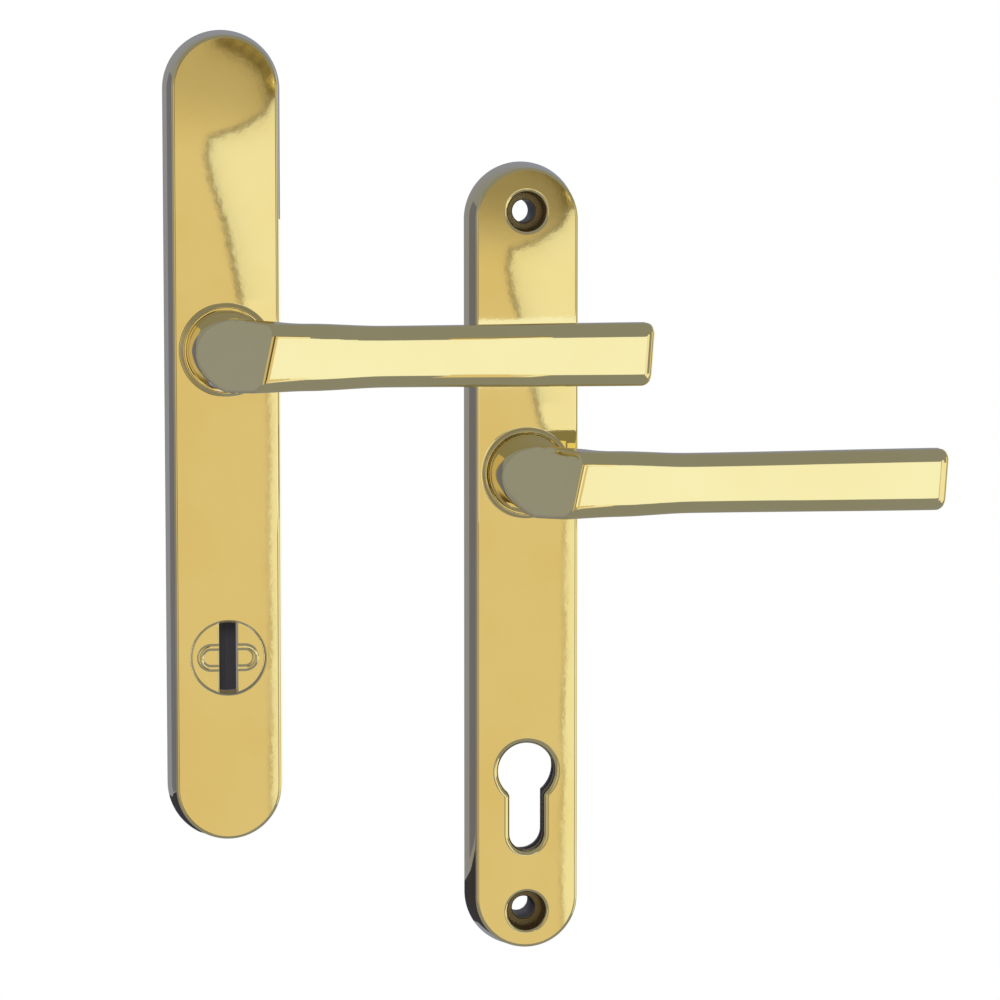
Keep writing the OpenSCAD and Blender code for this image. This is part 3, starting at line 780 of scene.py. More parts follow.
@cache
def sweep_tree():
    """Sweeps a rounded strip along a path that lies in a plane of constant Y."""
    tree = ShapeTree("Swept Strip")
    tree.input("Width", "NodeSocketFloat", 0.002)
    tree.input("Rise", "NodeSocketFloat", 0.0005)
    tree.input("Roundness", "NodeSocketFloat", 1.0)
    tree.input("Material", "NodeSocketMaterial")
    curve = tree.new("GeometryNodeMeshToCurve")
    profile = tree.new("GeometryNodeCurvePrimitiveCircle")
    profile.inputs["Resolution"].default_value = 28
    profile.inputs["Radius"].default_value = 1.0
    place = tree.new("GeometryNodeInputPosition")
    parts = tree.new("ShaderNodeSeparateXYZ")
    shape = tree.new("ShaderNodeCombineXYZ")
    moved = tree.new("GeometryNodeSetPosition")
    level = tree.new("GeometryNodeSetCurveNormal")
    level.inputs[-1].default_value = (0.0, -1.0, 0.0)
    sweep = tree.new("GeometryNodeCurveToMesh")
    sweep.inputs["Fill Caps"].default_value = True
    tree.link(tree.value("Geometry"), curve.inputs["Mesh"])
    tree.link(place.outputs["Position"], parts.inputs["Vector"])

    def squared(axis):
        """Pushes a unit circle's coordinate out towards a square's."""
        size = tree.math("POWER", tree.math("ABSOLUTE", parts.outputs[axis]), tree.value("Roundness"))
        return tree.math("MULTIPLY", tree.math("SIGN", parts.outputs[axis]), size)

    tree.link(tree.math("MULTIPLY", squared("X"), tree.value("Rise")), shape.inputs["X"])
    tree.link(tree.math("MULTIPLY", squared("Y"), tree.value("Width")), shape.inputs["Y"])
    tree.link(profile.outputs["Curve"], moved.inputs["Geometry"])
    tree.link(shape.outputs["Vector"], moved.inputs["Position"])
    tree.link(curve.outputs["Curve"], level.inputs["Curve"])
    tree.link(level.outputs["Curve"], sweep.inputs["Curve"])
    tree.link(moved.outputs["Geometry"], sweep.inputs["Profile Curve"])
    tree.finish(sweep.outputs["Mesh"])
    return tree


@cache
def copies_tree():
    """Sets a copy of one mesh on each point."""
    tree = ShapeTree("Copies On Points")
    tree.input("Copy", "NodeSocketObject")
    tree.input("Material", "NodeSocketMaterial")
    points = tree.new("GeometryNodeMeshToPoints")
    info = tree.new("GeometryNodeObjectInfo")
    place = tree.new("GeometryNodeInstanceOnPoints")
    tree.link(tree.value("Geometry"), points.inputs["Mesh"])
    tree.link(tree.value("Copy"), info.inputs["Object"])
    tree.link(points.outputs["Points"], place.inputs["Points"])
    tree.link(info.outputs["Geometry"], place.inputs["Instance"])
    tree.finish(place.outputs["Instances"])
    return tree


@cache
def wire_tree():
    """Draws round wire along a path."""
    tree = ShapeTree("Round Wire")
    tree.input("Radius", "NodeSocketFloat", 0.0006)
    tree.input("Material", "NodeSocketMaterial")
    curve = tree.new("GeometryNodeMeshToCurve")
    profile = tree.new("GeometryNodeCurvePrimitiveCircle")
    profile.inputs["Resolution"].default_value = 14
    sweep = tree.new("GeometryNodeCurveToMesh")
    sweep.inputs["Fill Caps"].default_value = True
    tree.link(tree.value("Geometry"), curve.inputs["Mesh"])
    tree.link(tree.value("Radius"), profile.inputs["Radius"])
    tree.link(curve.outputs["Curve"], sweep.inputs["Curve"])
    tree.link(profile.outputs["Curve"], sweep.inputs["Profile Curve"])
    tree.finish(sweep.outputs["Mesh"])
    return tree


# ---------------------------------------------------------------------------------------------
# Pieces


def cover_rings():
    """Rings of a cover's skin, from its ceiling over the rim and sides to its front face."""
    s = sizes("plate")
    half_width = COVER_HIGH.x
    low = COVER_LOW.y + half_width
    high = COVER_HIGH.y - half_width
    inner = half_width - s.side_wall
    ceiling = s.depth - s.front_wall
    lean = math.atan2(s.draft, s.depth - s.front_round)
    lip = 0.0004
    flat_edge = 0.0001
    profile = [(inner, ceiling), (inner, s.back_round), (inner + lip / 4, lip / 8), (inner + lip, 0.0)]
    profile.append((half_width - 1.6 * s.back_round, 0.0))
    for inwards, down in rounding(s.back_round, 6)[::-1]:
        profile.append((half_width - inwards, down))
    corner = half_width - s.depth * math.tan(lean)
    tangent = s.front_round * math.tan((math.pi / 2 - lean) / 2)
    middle = (corner - tangent, s.depth - s.front_round)
    round_start = (middle[0] + s.front_round * math.cos(lean), middle[1] + s.front_round * math.sin(lean))
    profile.append((round_start[0] + lip * math.tan(lean), round_start[1] - lip))
    for a in np.linspace(lean, math.pi / 2, 10):
        profile.append((middle[0] + s.front_round * math.cos(a), middle[1] + s.front_round * math.sin(a)))
    profile.append((profile[-1][0] - flat_edge, s.depth))
    return [stadium_ring(r, z, low, high) for r, z in profile]


def collar_rings():
    """Rings of the raised collar and the bush's hole, from the front face down to the ceiling."""
    s = sizes("plate")
    foot = 0.0004
    crown = 0.0008
    bore_edge = 0.0002
    flat_edge = 0.0002
    top = COVER_HIGH.z
    profile = [(s.collar_radius + foot + flat_edge, s.depth), (s.collar_radius + foot, s.depth)]
    for a in np.linspace(0, math.pi / 2, 6)[1:]:
        profile.append((s.collar_radius + foot * (1 - math.sin(a)), s.depth + foot * (1 - math.cos(a))))
    for inwards, down in rounding(crown, 7):
        profile.append((s.collar_radius - inwards, top - down))
    for outwards, down in rounding(bore_edge, 4)[::-1]:
        profile.append((s.collar_bore + outwards, top - down))
    profile += [(s.collar_bore, s.depth), (s.bush_radius, s.depth), (s.bush_radius, s.depth - s.front_wall)]
    return [circle_ring(r, z, steps=128) for r, z in profile]


def rolled_rings(maker, roll, floor, steps=9):
    """Rings of an opening's edge that rolls from the face into a straight wall."""
    s = sizes("plate")
    flat_edge = 0.00015
    rings = [maker(roll + flat_edge, s.depth)]
    for a in np.linspace(0, math.pi / 2, steps):
        rings.append(maker(roll * (1 - math.sin(a)), s.depth - roll * (1 - math.cos(a))))
    rings.append(maker(0.0, floor))
    return rings


def cup_rings(y):
    """Rings of a screw's counterbore, its hole and the outside of its cup."""
    s = sizes("plate")
    ceiling = s.depth - s.front_wall
    cup_floor = s.depth / 2
    roll = 0.001
    fillet = 0.0004
    hole_edge = 0.0003
    rings = rolled_rings(lambda grow, z: circle_ring(s.counterbore + grow, z, y), roll, cup_floor + fillet)
    for r, z in (
        (s.counterbore - fillet, cup_floor),
        (FIXING_HOLE + hole_edge, cup_floor),
        (FIXING_HOLE, cup_floor - hole_edge),
        (FIXING_HOLE, cup_floor - s.cup_floor),
        (s.counterbore + s.cup_wall, cup_floor - s.cup_floor),
        (s.counterbore + s.cup_wall, ceiling),
    ):
        rings.append(circle_ring(r, z, y))
    return rings


def build_cover(half):
    """A cast cover with its collar and openings."""
    s = sizes("plate")
    ceiling = s.depth - s.front_wall
    skin = cover_rings()
    openings = [collar_rings()]
    if half == "outside":
        guard_edge = 0.0003

        def guard_hole(grow, z):
            return circle_ring(s.guard_radius + grow, z, CYLINDER_Y, 128)

        openings.append(rolled_rings(guard_hole, guard_edge, ceiling))
    else:
        soften = s.euro_roll + 0.0008

        def cylinder_hole(grow, z):
            return euro_ring(grow, z, EURO_RADIUS, s.euro_lobe, s.euro_height, soften)

        openings.append(rolled_rings(cylinder_hole, s.euro_roll, ceiling))
        openings += [cup_rings(y) for y in FIXING_YS]
    front = [skin[-1], *(rings[0] for rings in openings)]
    back = [skin[0], *(rings[-1] for rings in openings)]
    mesh = build_mesh(f"{half}_cover_casting", half, [skin, *openings], [front, back])
    x, y, z = own_centres(mesh, half)
    half_width = COVER_HIGH.x
    past_end = np.maximum(0, np.maximum(y - COVER_HIGH.y + half_width, COVER_LOW.y + half_width - y))
    within_walls = np.hypot(x, past_end) < half_width - s.side_wall + s.back_round
    buffed_depth = 0.0011
    mark_cast(mesh, within_walls & (z < s.depth - buffed_depth))
    return add_piece(
        f"{half}_cover_casting", mesh, material_of("polished_brass"), PLATES_BODY,
        [f"{half}_cover"],
    )


def ease(t):
    """Eased step from 0 to 1."""
    u = np.clip(t, 0, 1)
    return u * u * (3 - 2 * u)


def edge_distance(a, b, soft, c, v):
    """Distance from the middle of a rounded rectangle to its edge, in the direction c, v."""
    x, y = abs(c), abs(v)
    if x * (b - soft) >= y * a:
        return a / x
    if y * (a - soft) >= x * b:
        return b / y
    cx, cy = a - soft, b - soft
    along = cx * x + cy * y
    return along + math.sqrt(max(0.0, along * along - cx * cx - cy * cy + soft * soft))


def bend_steps(count):
    """Steps around the bend, closest together where the facet ends on the grip."""
    t = np.linspace(0, 1, 400)
    weight = 1 + 3 * np.exp(-((t - 0.62) / 0.16) ** 2)
    along = np.concatenate([[0], np.cumsum((weight[1:] + weight[:-1]) / 2)])
    return np.interp(np.linspace(0, along[-1], count), along, t)


def lever_stations(s, reach, out):
    """Stations along the lever: centre x and z, outward x and z, inner half thickness, half height,
    rounding and outer half thickness."""
    thick = s.grip_thickness / 2
    bend_x = s.neck_top_radius + s.bend_radius
    bend_z = out - s.grip_thickness - s.bend_radius
    lip = 0.0004
    least_round = 0.0004

    def half_height(x):
        swell = 1 - ease((x - bend_x) / (s.waist - bend_x))
        flare = ease((x - s.waist) / (reach - s.waist))
        return s.grip_height / 2 + s.grip_swell / 2 * swell + s.grip_flare / 2 * flare

    stations = []
    for a in np.linspace(0, math.pi / 2, 5):
        r = s.neck_radius - lip * (1 - math.sin(a))
        stations.append((0, s.neck_start + lip * (1 - math.cos(a)), -1, 0, r, r, r, r))
    for t in np.linspace(0, 1, 30)[1:-1]:
        r = s.neck_radius + (s.neck_top_radius - s.neck_radius) * t
        stations.append((0, s.neck_start + lip + (bend_z - s.neck_start - lip) * t, -1, 0, r, r, r, r))
    for t in bend_steps(s.along_bend):
        a, k = t * math.pi / 2, ease(t)
        half = s.neck_top_radius + (thick - s.neck_top_radius) * k
        centre = s.bend_radius + half
        side = math.cos(a) / (s.bend_radius + 2 * s.neck_top_radius)
        front = math.sin(a) / (s.bend_radius + s.grip_thickness)
        outer = (side**s.bend_square + front**s.bend_square) ** (-1 / s.bend_square)
        stations.append((
            bend_x - centre * math.cos(a), bend_z + centre * math.sin(a), -math.cos(a), math.sin(a), half,
            s.neck_top_radius + (half_height(bend_x) - s.neck_top_radius) * k,
            s.neck_top_radius + (s.grip_round - s.neck_top_radius) * ease(t / s.bend_soften),
            outer - centre,
        ))
    straight = np.linspace(bend_x, reach - s.tip_round, 72)[1:]
    tip = reach - s.tip_round * (1 - np.sin(np.linspace(0, math.pi / 2, 14)[1:]))
    for x in [*straight, *tip]:
        u = max(0.0, x - reach + s.tip_round) / s.tip_round
        draw = s.tip_round * (1 - math.sqrt(max(0.0, 1 - u * u)))
        t = (x - bend_x) / (reach - bend_x)
        stations.append((
            x, out - thick - s.bow * t * t, 0, 1, thick - draw, half_height(x) - draw,
            max(least_round, s.grip_round - draw), thick - draw,
        ))
    return stations


def lever_skin(s, reach, out, plate_depth):
    """Rings of the neck, bend and grip, with the facet cut off softly."""
    face_end, corner_end, side_middle = 38, 82, 86
    face = np.arange(0, face_end, face_end / 8)
    corner = np.linspace(face_end, corner_end, s.around)
    quarter = np.radians([*face, *corner, side_middle])
    turned = quarter[1:]
    angles = np.sort([*quarter, *(math.pi - turned), *(math.pi + turned), *(2 * math.pi - turned)])
    lean = math.tan(s.facet_lean) * math.sin(s.facet_angle)
    facet = np.array([-math.sin(s.facet_angle), lean, math.cos(s.facet_angle)])
    anchor = np.array([-s.neck_radius, 0, plate_depth + s.facet_start])
    rings = []
    for x, z, ox, oz, inner, height, soft, outer in lever_stations(s, reach, out):
        room = facet @ (anchor - [x, 0, z])
        slant = s.tip_slant * ease((x - s.waist) / (reach - s.waist))
        ring = []
        for a in angles:
            c, v = math.cos(a), math.sin(a)
            plain = 1 / edge_distance(outer if c > 0 else inner, height, soft, c, v)
            cut = max(0.0, facet @ [ox * c, v, oz * c]) / room
            r = (plain**s.facet_sharpness + cut**s.facet_sharpness) ** (-1 / s.facet_sharpness)
            ring.append([x + ox * r * c + slant * r * v, r * v, z + oz * r * c])
        rings.append(np.array(ring))
    return rings


def shank_rings(s):
    """Rings of the shank, from inside the neck back to its end and into the square socket."""
    end = LEVER_LOW.z
    clip_low, clip_high = own_box("outside_circlip", "outside")
    groove = s.shank_radius - 0.0008
    edge = 0.0003
    overlap = 0.002
    corner = 0.0005
    profile = [(s.shank_radius, s.neck_start + overlap), (s.shank_radius, BASE_HIGH.z)]
    profile += [(s.shank_radius, clip_high.z), (groove, clip_high.z), (groove, clip_low.z)]
    profile += [(s.shank_radius, clip_low.z), (s.shank_radius, end + edge), (s.shank_radius - edge, end)]
    rings = [
        circle_ring(r, z) if z > BASE_HIGH.z else flatted_ring(r, s.shank_flats, z) for r, z in profile
    ]
    socket = [
        square_ring(s.spindle + 2 * edge, 1.2 * corner, end),
        square_ring(s.spindle, corner, end + edge),
        square_ring(s.spindle, corner, end + s.socket_depth),
    ]
    return rings, socket


def build_lever(half):
    """A cast lever with its shank and socket."""
    s = sizes("lever")
    skin = lever_skin(s, LEVER_HIGH.x, LEVER_HIGH.z, sizes("plate").depth)
    form = build_mesh(f"{half}_lever_form", half, [skin], [[skin[0]], [skin[-1]]])
    rings, socket = shank_rings(s)
    shank = build_mesh(
        f"{half}_lever_shank", half, [rings, socket], [[rings[0]], [rings[-1], socket[0]], [socket[-1]]]
    )
    mesh = join_meshes(f"{half}_lever_casting", [form, shank])
    return add_piece(
        f"{half}_lever_casting", mesh, material_of("lever_brass"), LEVER_BODIES[half],
        [f"{half}_lever"],
    )


def build_guard_disc():
    """The guard's disc: two faces beside the key slot, on a hidden flange."""
    s = sizes("guard")
    half = "outside"
    flange_top = ROTOR_LOW.z + s.flange_thickness
    flange_bore = s.radius - 0.0007
    flat_edge = 0.00012
    shells = []
    for side in (1, -1):
        rings = [segment_ring(s.radius, s.slot_width / 2, side, ROTOR_LOW.z + 0.0001)]
        for inwards, down in rounding(s.edge_round, 6):
            rings.append(
                segment_ring(s.radius - inwards, s.slot_width / 2 + inwards, side, s.face - down)
            )
        inset = s.edge_round + flat_edge
        rings.append(segment_ring(s.radius - inset, s.slot_width / 2 + inset, side, s.face))
        shells.append(build_mesh("guard_face", half, [rings], [[rings[0]], [rings[-1]]]))
    outer = [
        circle_ring(r, z, CYLINDER_Y, 128)
        for r, z in (
            (flange_bore, ROTOR_LOW.z),
            (ROTOR_HIGH.x, ROTOR_LOW.z),
            (ROTOR_HIGH.x, flange_top),
            (flange_bore, flange_top),
            (flange_bore, ROTOR_LOW.z),
        )
    ]
    flange = build_mesh("guard_flange", half, [outer], [])
    mark_cast(flange, np.ones(len(flange.polygons)))
    shells.append(flange)
    for side in (1, -1):
        shells.append(build_bead(side))
    mesh = join_meshes("guard_disc_casting", shells)
    return add_piece(
        "guard_disc_casting", mesh, material_of("polished_brass"), GUARD_BODY,
        ["guard_rotor"],
    )


def build_bead(side):
    """The raised oval bead on one side of the key slot."""
    s = sizes("guard")
    middle = s.bead_height - s.bead_width / 2
    reach = s.bead_reach - s.bead_height
    start = s.slot_width / 2 + 0.0001
    turn = np.linspace(math.pi / 2, -math.pi / 2, 33)
    outline = [(start + (reach - start) * t, middle) for t in np.linspace(0, 1, 6)[:-1]]
    outline += [(reach + middle * math.cos(a), middle * math.sin(a)) for a in turn]
    outline += [(reach + (start - reach) * t, -middle) for t in np.linspace(0, 1, 6)[1:]]
    points = [(side * x, CYLINDER_Y + y, s.face) for x, y in outline]
    return run_tree(
        sweep_tree(),
        "guard_bead",
        path_mesh(to_row(points, "outside"), closed=False),
        {
            "Width": s.bead_width / 2,
            "Rise": s.bead_rise,
            "Roundness": 1.0,
            "Material": material_of("polished_brass"),
        },
    )


def build_gasket(half):
    """The foam ring behind a cover."""
    outer = GASKET_HIGH.x
    width = 0.0022
    low = GASKET_LOW.y + outer
    high = GASKET_HIGH.y - outer
    middle = (GASKET_LOW.z + GASKET_HIGH.z) / 2
    path = stadium_ring(outer - width / 2, middle, low, high, 40, 20)
    mesh = run_tree(
        sweep_tree(),
        f"{half}_gasket_foam",
        path_mesh(to_row(path, half), closed=True),
        {
            "Width": width / 2,
            "Rise": (GASKET_HIGH.z - GASKET_LOW.z) / 2,
            "Roundness": 0.35,
            "Material": material_of("foam"),
        },
    )
    return add_piece(
        f"{half}_gasket_foam", mesh, material_of("foam"), PLATES_BODY, [f"{half}_gasket"]
    )


def screw_mesh(half):
    """One countersunk cross-head screw at the half's origin, its head towards the door."""
    head_z = SCREWS_LOW.z
    tip_z = SCREWS_HIGH.z
    head = 0.0028
    recess = 0.00135
    core = 0.00123
    thread = 0.0002
    pitch = 0.0005
    edge = 0.0001
    centre = 0.00005
    profile = [
        (centre, head_z + 0.0008), (recess - 1.5 * edge, head_z + 2 * edge), (recess, head_z),
        (head - edge, head_z), (head, head_z + edge), (core + thread, head_z + 0.0013),
    ]
    z = head_z + 0.0016
    while z < tip_z - 2 * pitch:
        profile += [(core, z), (core + thread, z + pitch / 2)]
        z += pitch
    profile += [(core, z), (core * 0.6, tip_z), (centre, tip_z)]
    rings = [circle_ring(r, z, steps=24) for r, z in profile]
    return build_mesh("base_screw", half, [rings], [[rings[0]], [rings[-1]]])


def build_base_screws(half):
    """The screws that hold a base to its cover's posts."""
    screw = bpy.data.objects.new("screw_copy", screw_mesh(half))
    bpy.context.scene.collection.objects.link(screw)
    corners = frame["nodes"][f"{half}_base_screws"].data.vertices
    heights = np.sort([corner.co.z - SPINDLES[half].z for corner in corners])
    gap_between_screws = 0.005
    screws = np.split(heights, np.flatnonzero(np.diff(heights) > gap_between_screws) + 1)
    points = [(0.0, 0.0, (found[0] + found[-1]) / 2) for found in screws]
    mesh = run_tree(
        copies_tree(),
        f"{half}_base_screw_set",
        path_mesh(points, closed=False),
        {"Copy": screw, "Material": material_of("zinc_steel")},
    )
    bpy.data.objects.remove(screw)
    return add_piece(
        f"{half}_base_screw_set", mesh, material_of("zinc_steel"), PLATES_BODY,
        [f"{half}_base_screws"],
    )


def build_spring(half):
    """The double-acting torsion spring around a shank."""
    wire = 0.0006
    coil = 0.0102
    turns = 2
    half_gap, reach = 0.0022, 0.0118
    leg = math.asin(half_gap / reach)
    low = SPRING_LOW.z + wire
    high = SPRING_HIGH.z - wire
    start = -math.pi / 2 + leg
    sweep = 2 * math.pi * turns - 2 * leg
    outer = -SPRING_LOW.y
    points = [(outer * math.cos(start), outer * math.sin(start), low)]
    for t in np.linspace(0, 1, 48 * turns):
        a = start + sweep * t
        points.append((coil * math.cos(a), coil * math.sin(a), low + (high - low) * t))
    points.append((outer * math.cos(start + sweep), outer * math.sin(start + sweep), high))
    mesh = run_tree(
        wire_tree(),
        f"{half}_torsion_spring",
        path_mesh(to_row(points, half), closed=False),
        {"Radius": wire, "Material": material_of("spring_steel")},
    )
    return add_piece(
        f"{half}_torsion_spring", mesh, material_of("spring_steel"), PLATES_BODY,
        [f"{half}_return_spring"],
    )


def paint_frame():
    """Gives every CAD node that still shows the material of its slot."""
    for row in frame["record"]["subparts"]:
        obj = frame["nodes"][row["node"]]
        obj.data.materials.clear()
        obj.data.materials.append(material_of(row["material_slot"]))


# ---------------------------------------------------------------------------------------------
# Studio


def glow(name, tint):
    """A material that only shines."""
    material = bpy.data.materials.new(name)
    material.use_nodes = True
    tree = material.node_tree
    tree.nodes.clear()
    emission = tree.nodes.new("ShaderNodeEmission")
    emission.inputs["Color"].default_value = (*tint, 1.0)
    output = tree.nodes.new("ShaderNodeOutputMaterial")
    tree.links.new(emission.outputs["Emission"], output.inputs["Surface"])
    return material


def face_mesh(name, points, faces, material):
    """A mesh of a few faces in one material."""
    mesh = bpy.data.meshes.new(name)
    mesh.from_pydata([tuple(p) for p in points], [], faces)
    mesh.materials.append(material)
    return mesh


def stage_object(name, mesh, camera=False):
    """A backdrop that only the camera sees, or a card that only the polish sees."""
    obj = bpy.data.objects.new(name, mesh)
    bpy.context.scene.collection.objects.link(obj)
    obj.visible_camera = camera
    obj.visible_glossy = not camera
    obj.visible_diffuse = False
    obj.visible_shadow = False
    obj.visible_transmission = False
    return obj


def distance_to(path, x, z):
    """Distance of each point to the nearest place of a path."""
    best = np.full(x.shape, 1e9)
    for (x0, z0), (x1, z1) in zip(path, path[1:]):
        run, rise = x1 - x0, z1 - z0
        t = np.clip(((x - x0) * run + (z - z0) * rise) / (run * run + rise * rise), 0, 1)
        best = np.minimum(best, np.hypot(x - x0 - run * t, z - z0 - rise * t))
    return best


def wander(x, z, size, seed):
    """Smooth wandering from -1 to 1, made of a few crossed waves."""
    a, b = x / size, z / size
    return 0.4 * (
        np.sin(a + 1.7 * b + seed) + 0.8 * np.sin(2.3 * a - 1.9 * b + 2 * seed)
        + 0.5 * np.sin(5.1 * b + 3.3 * a + 3 * seed) + 0.3 * np.sin(9.7 * b - 8.1 * a + seed)
    )


def soft_step(value, low, high):
    """Smooth change from 0 to 1 between low and high."""
    return ease((value - low) / (high - low))


def build_camera():
    """The camera, up and to the left of the handles."""
    s = sizes("studio")
    data = bpy.data.cameras.new("camera")
    data.lens = s.lens
    data.sensor_width = 36.0
    data.clip_end = 30.0
    camera = bpy.data.objects.new("camera", data)
    bpy.context.scene.collection.objects.link(camera)
    forward = Vector((
        math.sin(s.yaw) * math.cos(s.pitch), math.cos(s.yaw) * math.cos(s.pitch), -math.sin(s.pitch)
    ))
    camera.location = Vector(s.target) - s.distance * forward
    camera.rotation_mode = "QUATERNION"
    camera.rotation_quaternion = forward.to_track_quat("-Z", "Y")
    bpy.context.scene.camera = camera


def area_light(name, place, aim, side, watts):
    """A soft light that shows in no reflection."""
    data = bpy.data.lights.new(name, "AREA")
    data.energy = watts
    data.size = side
    light = bpy.data.objects.new(name, data)
    bpy.context.scene.collection.objects.link(light)
    light.location = place
    light.rotation_mode = "QUATERNION"
    light.rotation_quaternion = (Vector(aim) - Vector(place)).to_track_quat("-Z", "Y")
    light.visible_glossy = False


def build_studio():
    """World, floor, backdrop, cards and lights."""
    s = sizes("studio")
    scene = bpy.context.scene
    scene.view_settings.view_transform = "Standard"
    world = bpy.data.worlds.new("room")
    world.use_nodes = True
    world.node_tree.nodes["Background"].inputs["Color"].default_value = (*s.room, 1.0)
    scene.world = world
    middle = (CAD_BOX[0] + CAD_BOX[1]) / 2
    floor_z = CAD_BOX[0].z - 0.09
    ceiling_z = 8.0
    room_radius = 9
    steps = 64
    white = glow("backdrop_white", (1.0, 1.0, 1.0))
    around = np.linspace(0, 2 * math.pi, steps, endpoint=False)
    ring = [(middle.x + room_radius * math.cos(a), middle.y + room_radius * math.sin(a)) for a in around]
    low = [(x, y, floor_z) for x, y in ring]
    high = [(x, y, ceiling_z) for x, y in ring]
    walls = [(i, (i + 1) % steps, steps + (i + 1) % steps, steps + i) for i in range(steps)]
    ceiling = tuple(range(2 * steps - 1, steps - 1, -1))
    stage_object("backdrop", face_mesh("backdrop", low + high, [*walls, ceiling], white), camera=True)
    stage_object("floor", face_mesh("floor", low, [tuple(range(steps))], white), camera=True)
    build_cards()
    aim = tuple(middle)
    area_light("key_light", (-0.5, -1.4, 1.2), aim, 0.9, 18)
    area_light("fill_light", (1.2, -0.9, 0.3), aim, 0.8, 8)
    area_light("back_light", (-0.6, 1.5, 0.9), aim, 1.0, 20)
    area_light("back_fill", (1.1, 1.2, -0.2), aim, 0.9, 8)


# OLIVE, SEAM_GREY and BROWN colour the painted reflections on the front card.
OLIVE = np.array((0.13, 0.105, 0.05))
SEAM_GREY = np.array((0.27, 0.25, 0.22))
BROWN = np.array((0.11, 0.075, 0.035))
LEFT_DARK = np.array((0.13, 0.09, 0.045))
LEFT_WARM = np.array((0.62, 0.56, 0.42))
SIDE_LOW = np.array((0.24, 0.25, 0.40))
SIDE_HIGH = np.array((0.31, 0.345, 0.47))
# Boxes of painted highlight on the front card, where the grips mirror it, clear of the plates' painted
# reflections: two edges across, two up.
GRIP_PAINTED_HIGHLIGHTS = (
    (0.100, 0.127, -0.0705, -0.045),
    (0.127, 0.225, -0.158, -0.045),
    (0.225, 0.296, -0.081, -0.045),
    (0.270, 0.296, -0.1435, -0.117),
    (0.296, 0.60, -0.158, -0.045),
)


def blend(first, second, share):
    """Mix of two colours, or of two fields of colours, by a share at each point."""
    return first + (second - first) * share[..., None]


def plate_painted_reflection(x, z, u, w, top_shade):
    """The painted reflection for one plate: warm light under an olive corner, a window with a dark seam, a
    painted glint.

    u and w are the place with the seam's wander in it."""
    s = sizes("studio")
    arc = [(0.088, 0.109), (0.103, 0.102), (0.112, 0.093), (0.116, 0.080)]
    seam = [(0.116, 0.080), (0.111, 0.071), (0.098, 0.063), (0.083, 0.058), (0.081, 0.048), (0.084, 0.032),
            (0.091, 0.010), (0.097, -0.022), (0.101, -0.040)]
    low_seam = [(0.114, -0.060), (0.1145, -0.46)]
    fall = 1 - (1 - top_shade) * soft_step(w + 0.15 * u, 0.055, 0.105)
    light = np.array(s.warm_room) * fall[..., None]
    # The olive corner and its rim are painted dark reflection.
    to_arc = distance_to(arc, u, w)
    light = blend(light, OLIVE, 0.75 * np.exp(-to_arc / 0.0028) + 0.22 * np.exp(-to_arc / 0.010))
    corner = inside_of([*arc, (0.30, 0.080), (0.30, 0.16), (0.088, 0.16)], u, w)
    mottle = 1.0 + 1.9 * (0.5 + 0.5 * wander(x, z, 0.003, 0.7))
    light = np.where(corner[..., None], OLIVE * mottle[..., None], light)
    # A painted glint: a bright spot added onto the plate's painted reflection.
    spot = np.exp(-((u - 0.1185) / 0.0022) ** 2 - ((w - 0.090) / 0.0045) ** 2)
    light = light + np.array((1.3, 1.1, 0.5)) * spot[..., None]
    window = inside_of([*seam, *low_seam, (0.6, -0.46), (0.6, 0.083)], u, w)
    to_seam = distance_to([*seam, low_seam[0]], u, w)
    to_low = distance_to(low_seam, u, w)
    pane = np.array(s.window) * (1 - 0.22 * np.exp(-to_seam / 0.006) * (w > -0.03))[..., None]
    pane_edge = soft_step(np.minimum(to_seam, to_low), 0.0, 0.0012)
    light = np.where(window[..., None], blend(light, pane, pane_edge), light)
    # The grey seam line is painted dark reflection.
    rough = 0.8 + 0.2 * wander(x, z, 0.0016, 0.3)
    line = 0.95 * np.exp(-((to_seam / 0.0017) ** 2)) * rough + 0.35 * np.exp(-((to_low / 0.0014) ** 2))
    return blend(light, SEAM_GREY, line)


def painted_reflections(x, z):
    """Painted reflections on a card in front of the handles, laid out where their fronts mirror it.

    Each plate has its own painted warm light and window, and the grips have boxes of painted highlight."""
    s = sizes("studio")
    shade = np.ones((*x.shape, 3)) * np.array(s.room)
    wander_by, wander_size = 0.00035, 0.0028
    for number, (dx, dz, top_shade) in enumerate(((0.0, 0.0, 0.74), (0.170, -0.062, 0.46))):
        u = x - dx + wander_by * wander(x, z, wander_size, 1.3 + number)
        w = z - dz + wander_by * wander(z, x, wander_size, 2.1 + number)
        seen = (x > 0.058 + dx * 0.98) & (x < 0.1265 + dx)
        shade = np.where(seen[..., None], plate_painted_reflection(x, z, u, w, top_shade), shade)
    # Left of what the plates mirror, the card is painted a brown reflection.
    shade = np.where((x < 0.058)[..., None], BROWN, shade)
    edge = 0.001
    # Painted highlights where the grips mirror the card.
    for x0, x1, z0, z1 in GRIP_PAINTED_HIGHLIGHTS:
        mask = soft_step(x, x0 - edge, x0) * soft_step(-x, -x1 - edge, -x1)
        mask *= soft_step(z, z0 - edge, z0) * soft_step(-z, -z1 - edge, -z1)
        shade = blend(shade, np.array(s.grip_highlight), mask)
    return shade


def left_colours(x, z):
    """The wall to the left of the front one, dark close to it and warm further out."""
    return blend(LEFT_DARK, LEFT_WARM, soft_step(-x, 0.0, 0.14))


def side_colours(x, z):
    """The cool side wall, darker towards the floor."""
    return blend(SIDE_LOW, SIDE_HIGH, soft_step(z, -0.35, 0.15))


